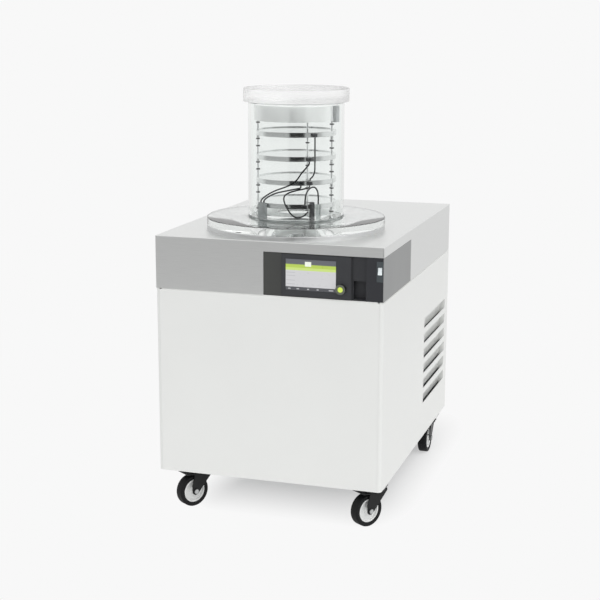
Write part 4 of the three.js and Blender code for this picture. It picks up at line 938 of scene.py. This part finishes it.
light = {
    "sky": 0.64,
    "keyAim": (-0.75, 0.35, -0.75), "keyStrength": 1.0, "keySpread": 60,
    "fillAim": (0.25, 0.9, -0.55), "fillStrength": 0.5, "fillSpread": 80,
    # what mirrors see of the room: bearing from the front, half widths inside and outside, brightness
    "darkRoom": (5, 78, 100, 0.435),
    "darkDoorway": (20, 18, 24, 0.03),
    "cove": (-0.12, -0.02, 0.8),  # what lies below the horizon, down to the floor, and its brightness
    "screenTop": (0.0, 0.2), "screenFoot": (-0.3, -0.45),  # heights between which the dark room ends
}
world = bpy.data.worlds.new("studio")
bpy.context.scene.world = world
world.use_nodes = True
skyTree = world.node_tree
skyTree.nodes.clear()
path = addNode(skyTree, "LightPath").outputs
ways = addNode(skyTree, "SeparateXYZ", {0: addNode(skyTree, "TexCoord").outputs["Generated"]}).outputs
levelWays = addNode(skyTree, "CombineXYZ", {0: ways[0], 1: ways[1], 2: 0.0})
flat = addNode(skyTree, "VectorMath", {0: levelWays.outputs[0]}, operation="NORMALIZE").outputs[0]


def screenedLight(bright, bearing, innerWidth, outerWidth, dim):
    # the brightness falls to dim between two half widths either side of a bearing, in degrees
    aim = (sin(radians(bearing)), -cos(radians(bearing)), 0)
    close = addNode(skyTree, "VectorMath", {0: flat, 1: aim}, operation="DOT_PRODUCT").outputs["Value"]
    inside = addNode(skyTree, "MapRange", {
        "Value": close, "From Min": cos(radians(outerWidth)), "From Max": cos(radians(innerWidth)),
        "To Min": 0, "To Max": 1,
    }, interpolation_type="SMOOTHSTEP").outputs[0]
    return addNode(skyTree, "Mix", {0: inside, 2: bright, 3: dim}, data_type="FLOAT").outputs[0]


pale = toLinear(floor["pale"])
coveFrom, coveTo, coveLight = light["cove"]
mirrored = addNode(skyTree, "MapRange", {
    "Value": ways[2], "From Min": coveFrom, "From Max": coveTo, "To Min": coveLight, "To Max": pale[0],
}).outputs[0]
mirrored = screenedLight(mirrored, *light["darkRoom"])
mirrored = screenedLight(mirrored, *light["darkDoorway"])
for near, far in (light["screenTop"], light["screenFoot"]):
    openSky = addNode(skyTree, "MapRange", {
        "Value": ways[2], "From Min": near, "From Max": far, "To Min": 0, "To Max": 1,
    }, interpolation_type="SMOOTHSTEP").outputs[0]
    mirrored = addNode(skyTree, "Mix", {0: openSky, 2: mirrored, 3: pale[0]}, data_type="FLOAT").outputs[0]
sky = addNode(skyTree, "Background", {"Color": (1, 1, 1, 1), "Strength": light["sky"]})
reflected = addNode(skyTree, "Background", {"Color": (1, 1, 1, 1), "Strength": mirrored})
backdrop = addNode(skyTree, "Background", {"Color": pale, "Strength": 1.0})
seen = addNode(skyTree, "Math", {0: path["Is Camera Ray"], 1: path["Is Transmission Ray"]},
               operation="MAXIMUM").outputs[0]
bounced = addNode(skyTree, "Math", {0: path["Glossy Depth"], 1: 0.5}, operation="GREATER_THAN").outputs[0]
mirrors = addNode(skyTree, "Math", {0: bounced, 1: path["Is Diffuse Ray"]}, operation="SUBTRACT").outputs[0]
mixed = addNode(skyTree, "MixShader", {0: seen, 1: sky.outputs[0], 2: backdrop.outputs[0]})
mixed = addNode(skyTree, "MixShader", {0: mirrors, 1: mixed.outputs[0], 2: reflected.outputs[0]})
addNode(skyTree, "OutputWorld", {"Surface": mixed.outputs[0]})


def addSun(name, direction, strength, spread, inMirrors=True):
    sun = bpy.data.lights.new(name, "SUN")
    sun.energy = strength
    sun.angle = radians(spread)
    lamp = bpy.data.objects.new(name, sun)
    bpy.context.scene.collection.objects.link(lamp)
    lamp.visible_glossy = lamp.visible_transmission = inMirrors
    lamp.rotation_mode = "QUATERNION"
    lamp.rotation_quaternion = Vector(direction).to_track_quat("-Z", "Y")


addSun("softboxRight", light["keyAim"], light["keyStrength"], light["keySpread"])
addSun("softboxFront", light["fillAim"], light["fillStrength"], light["fillSpread"], inMirrors=False)
print("stage set")
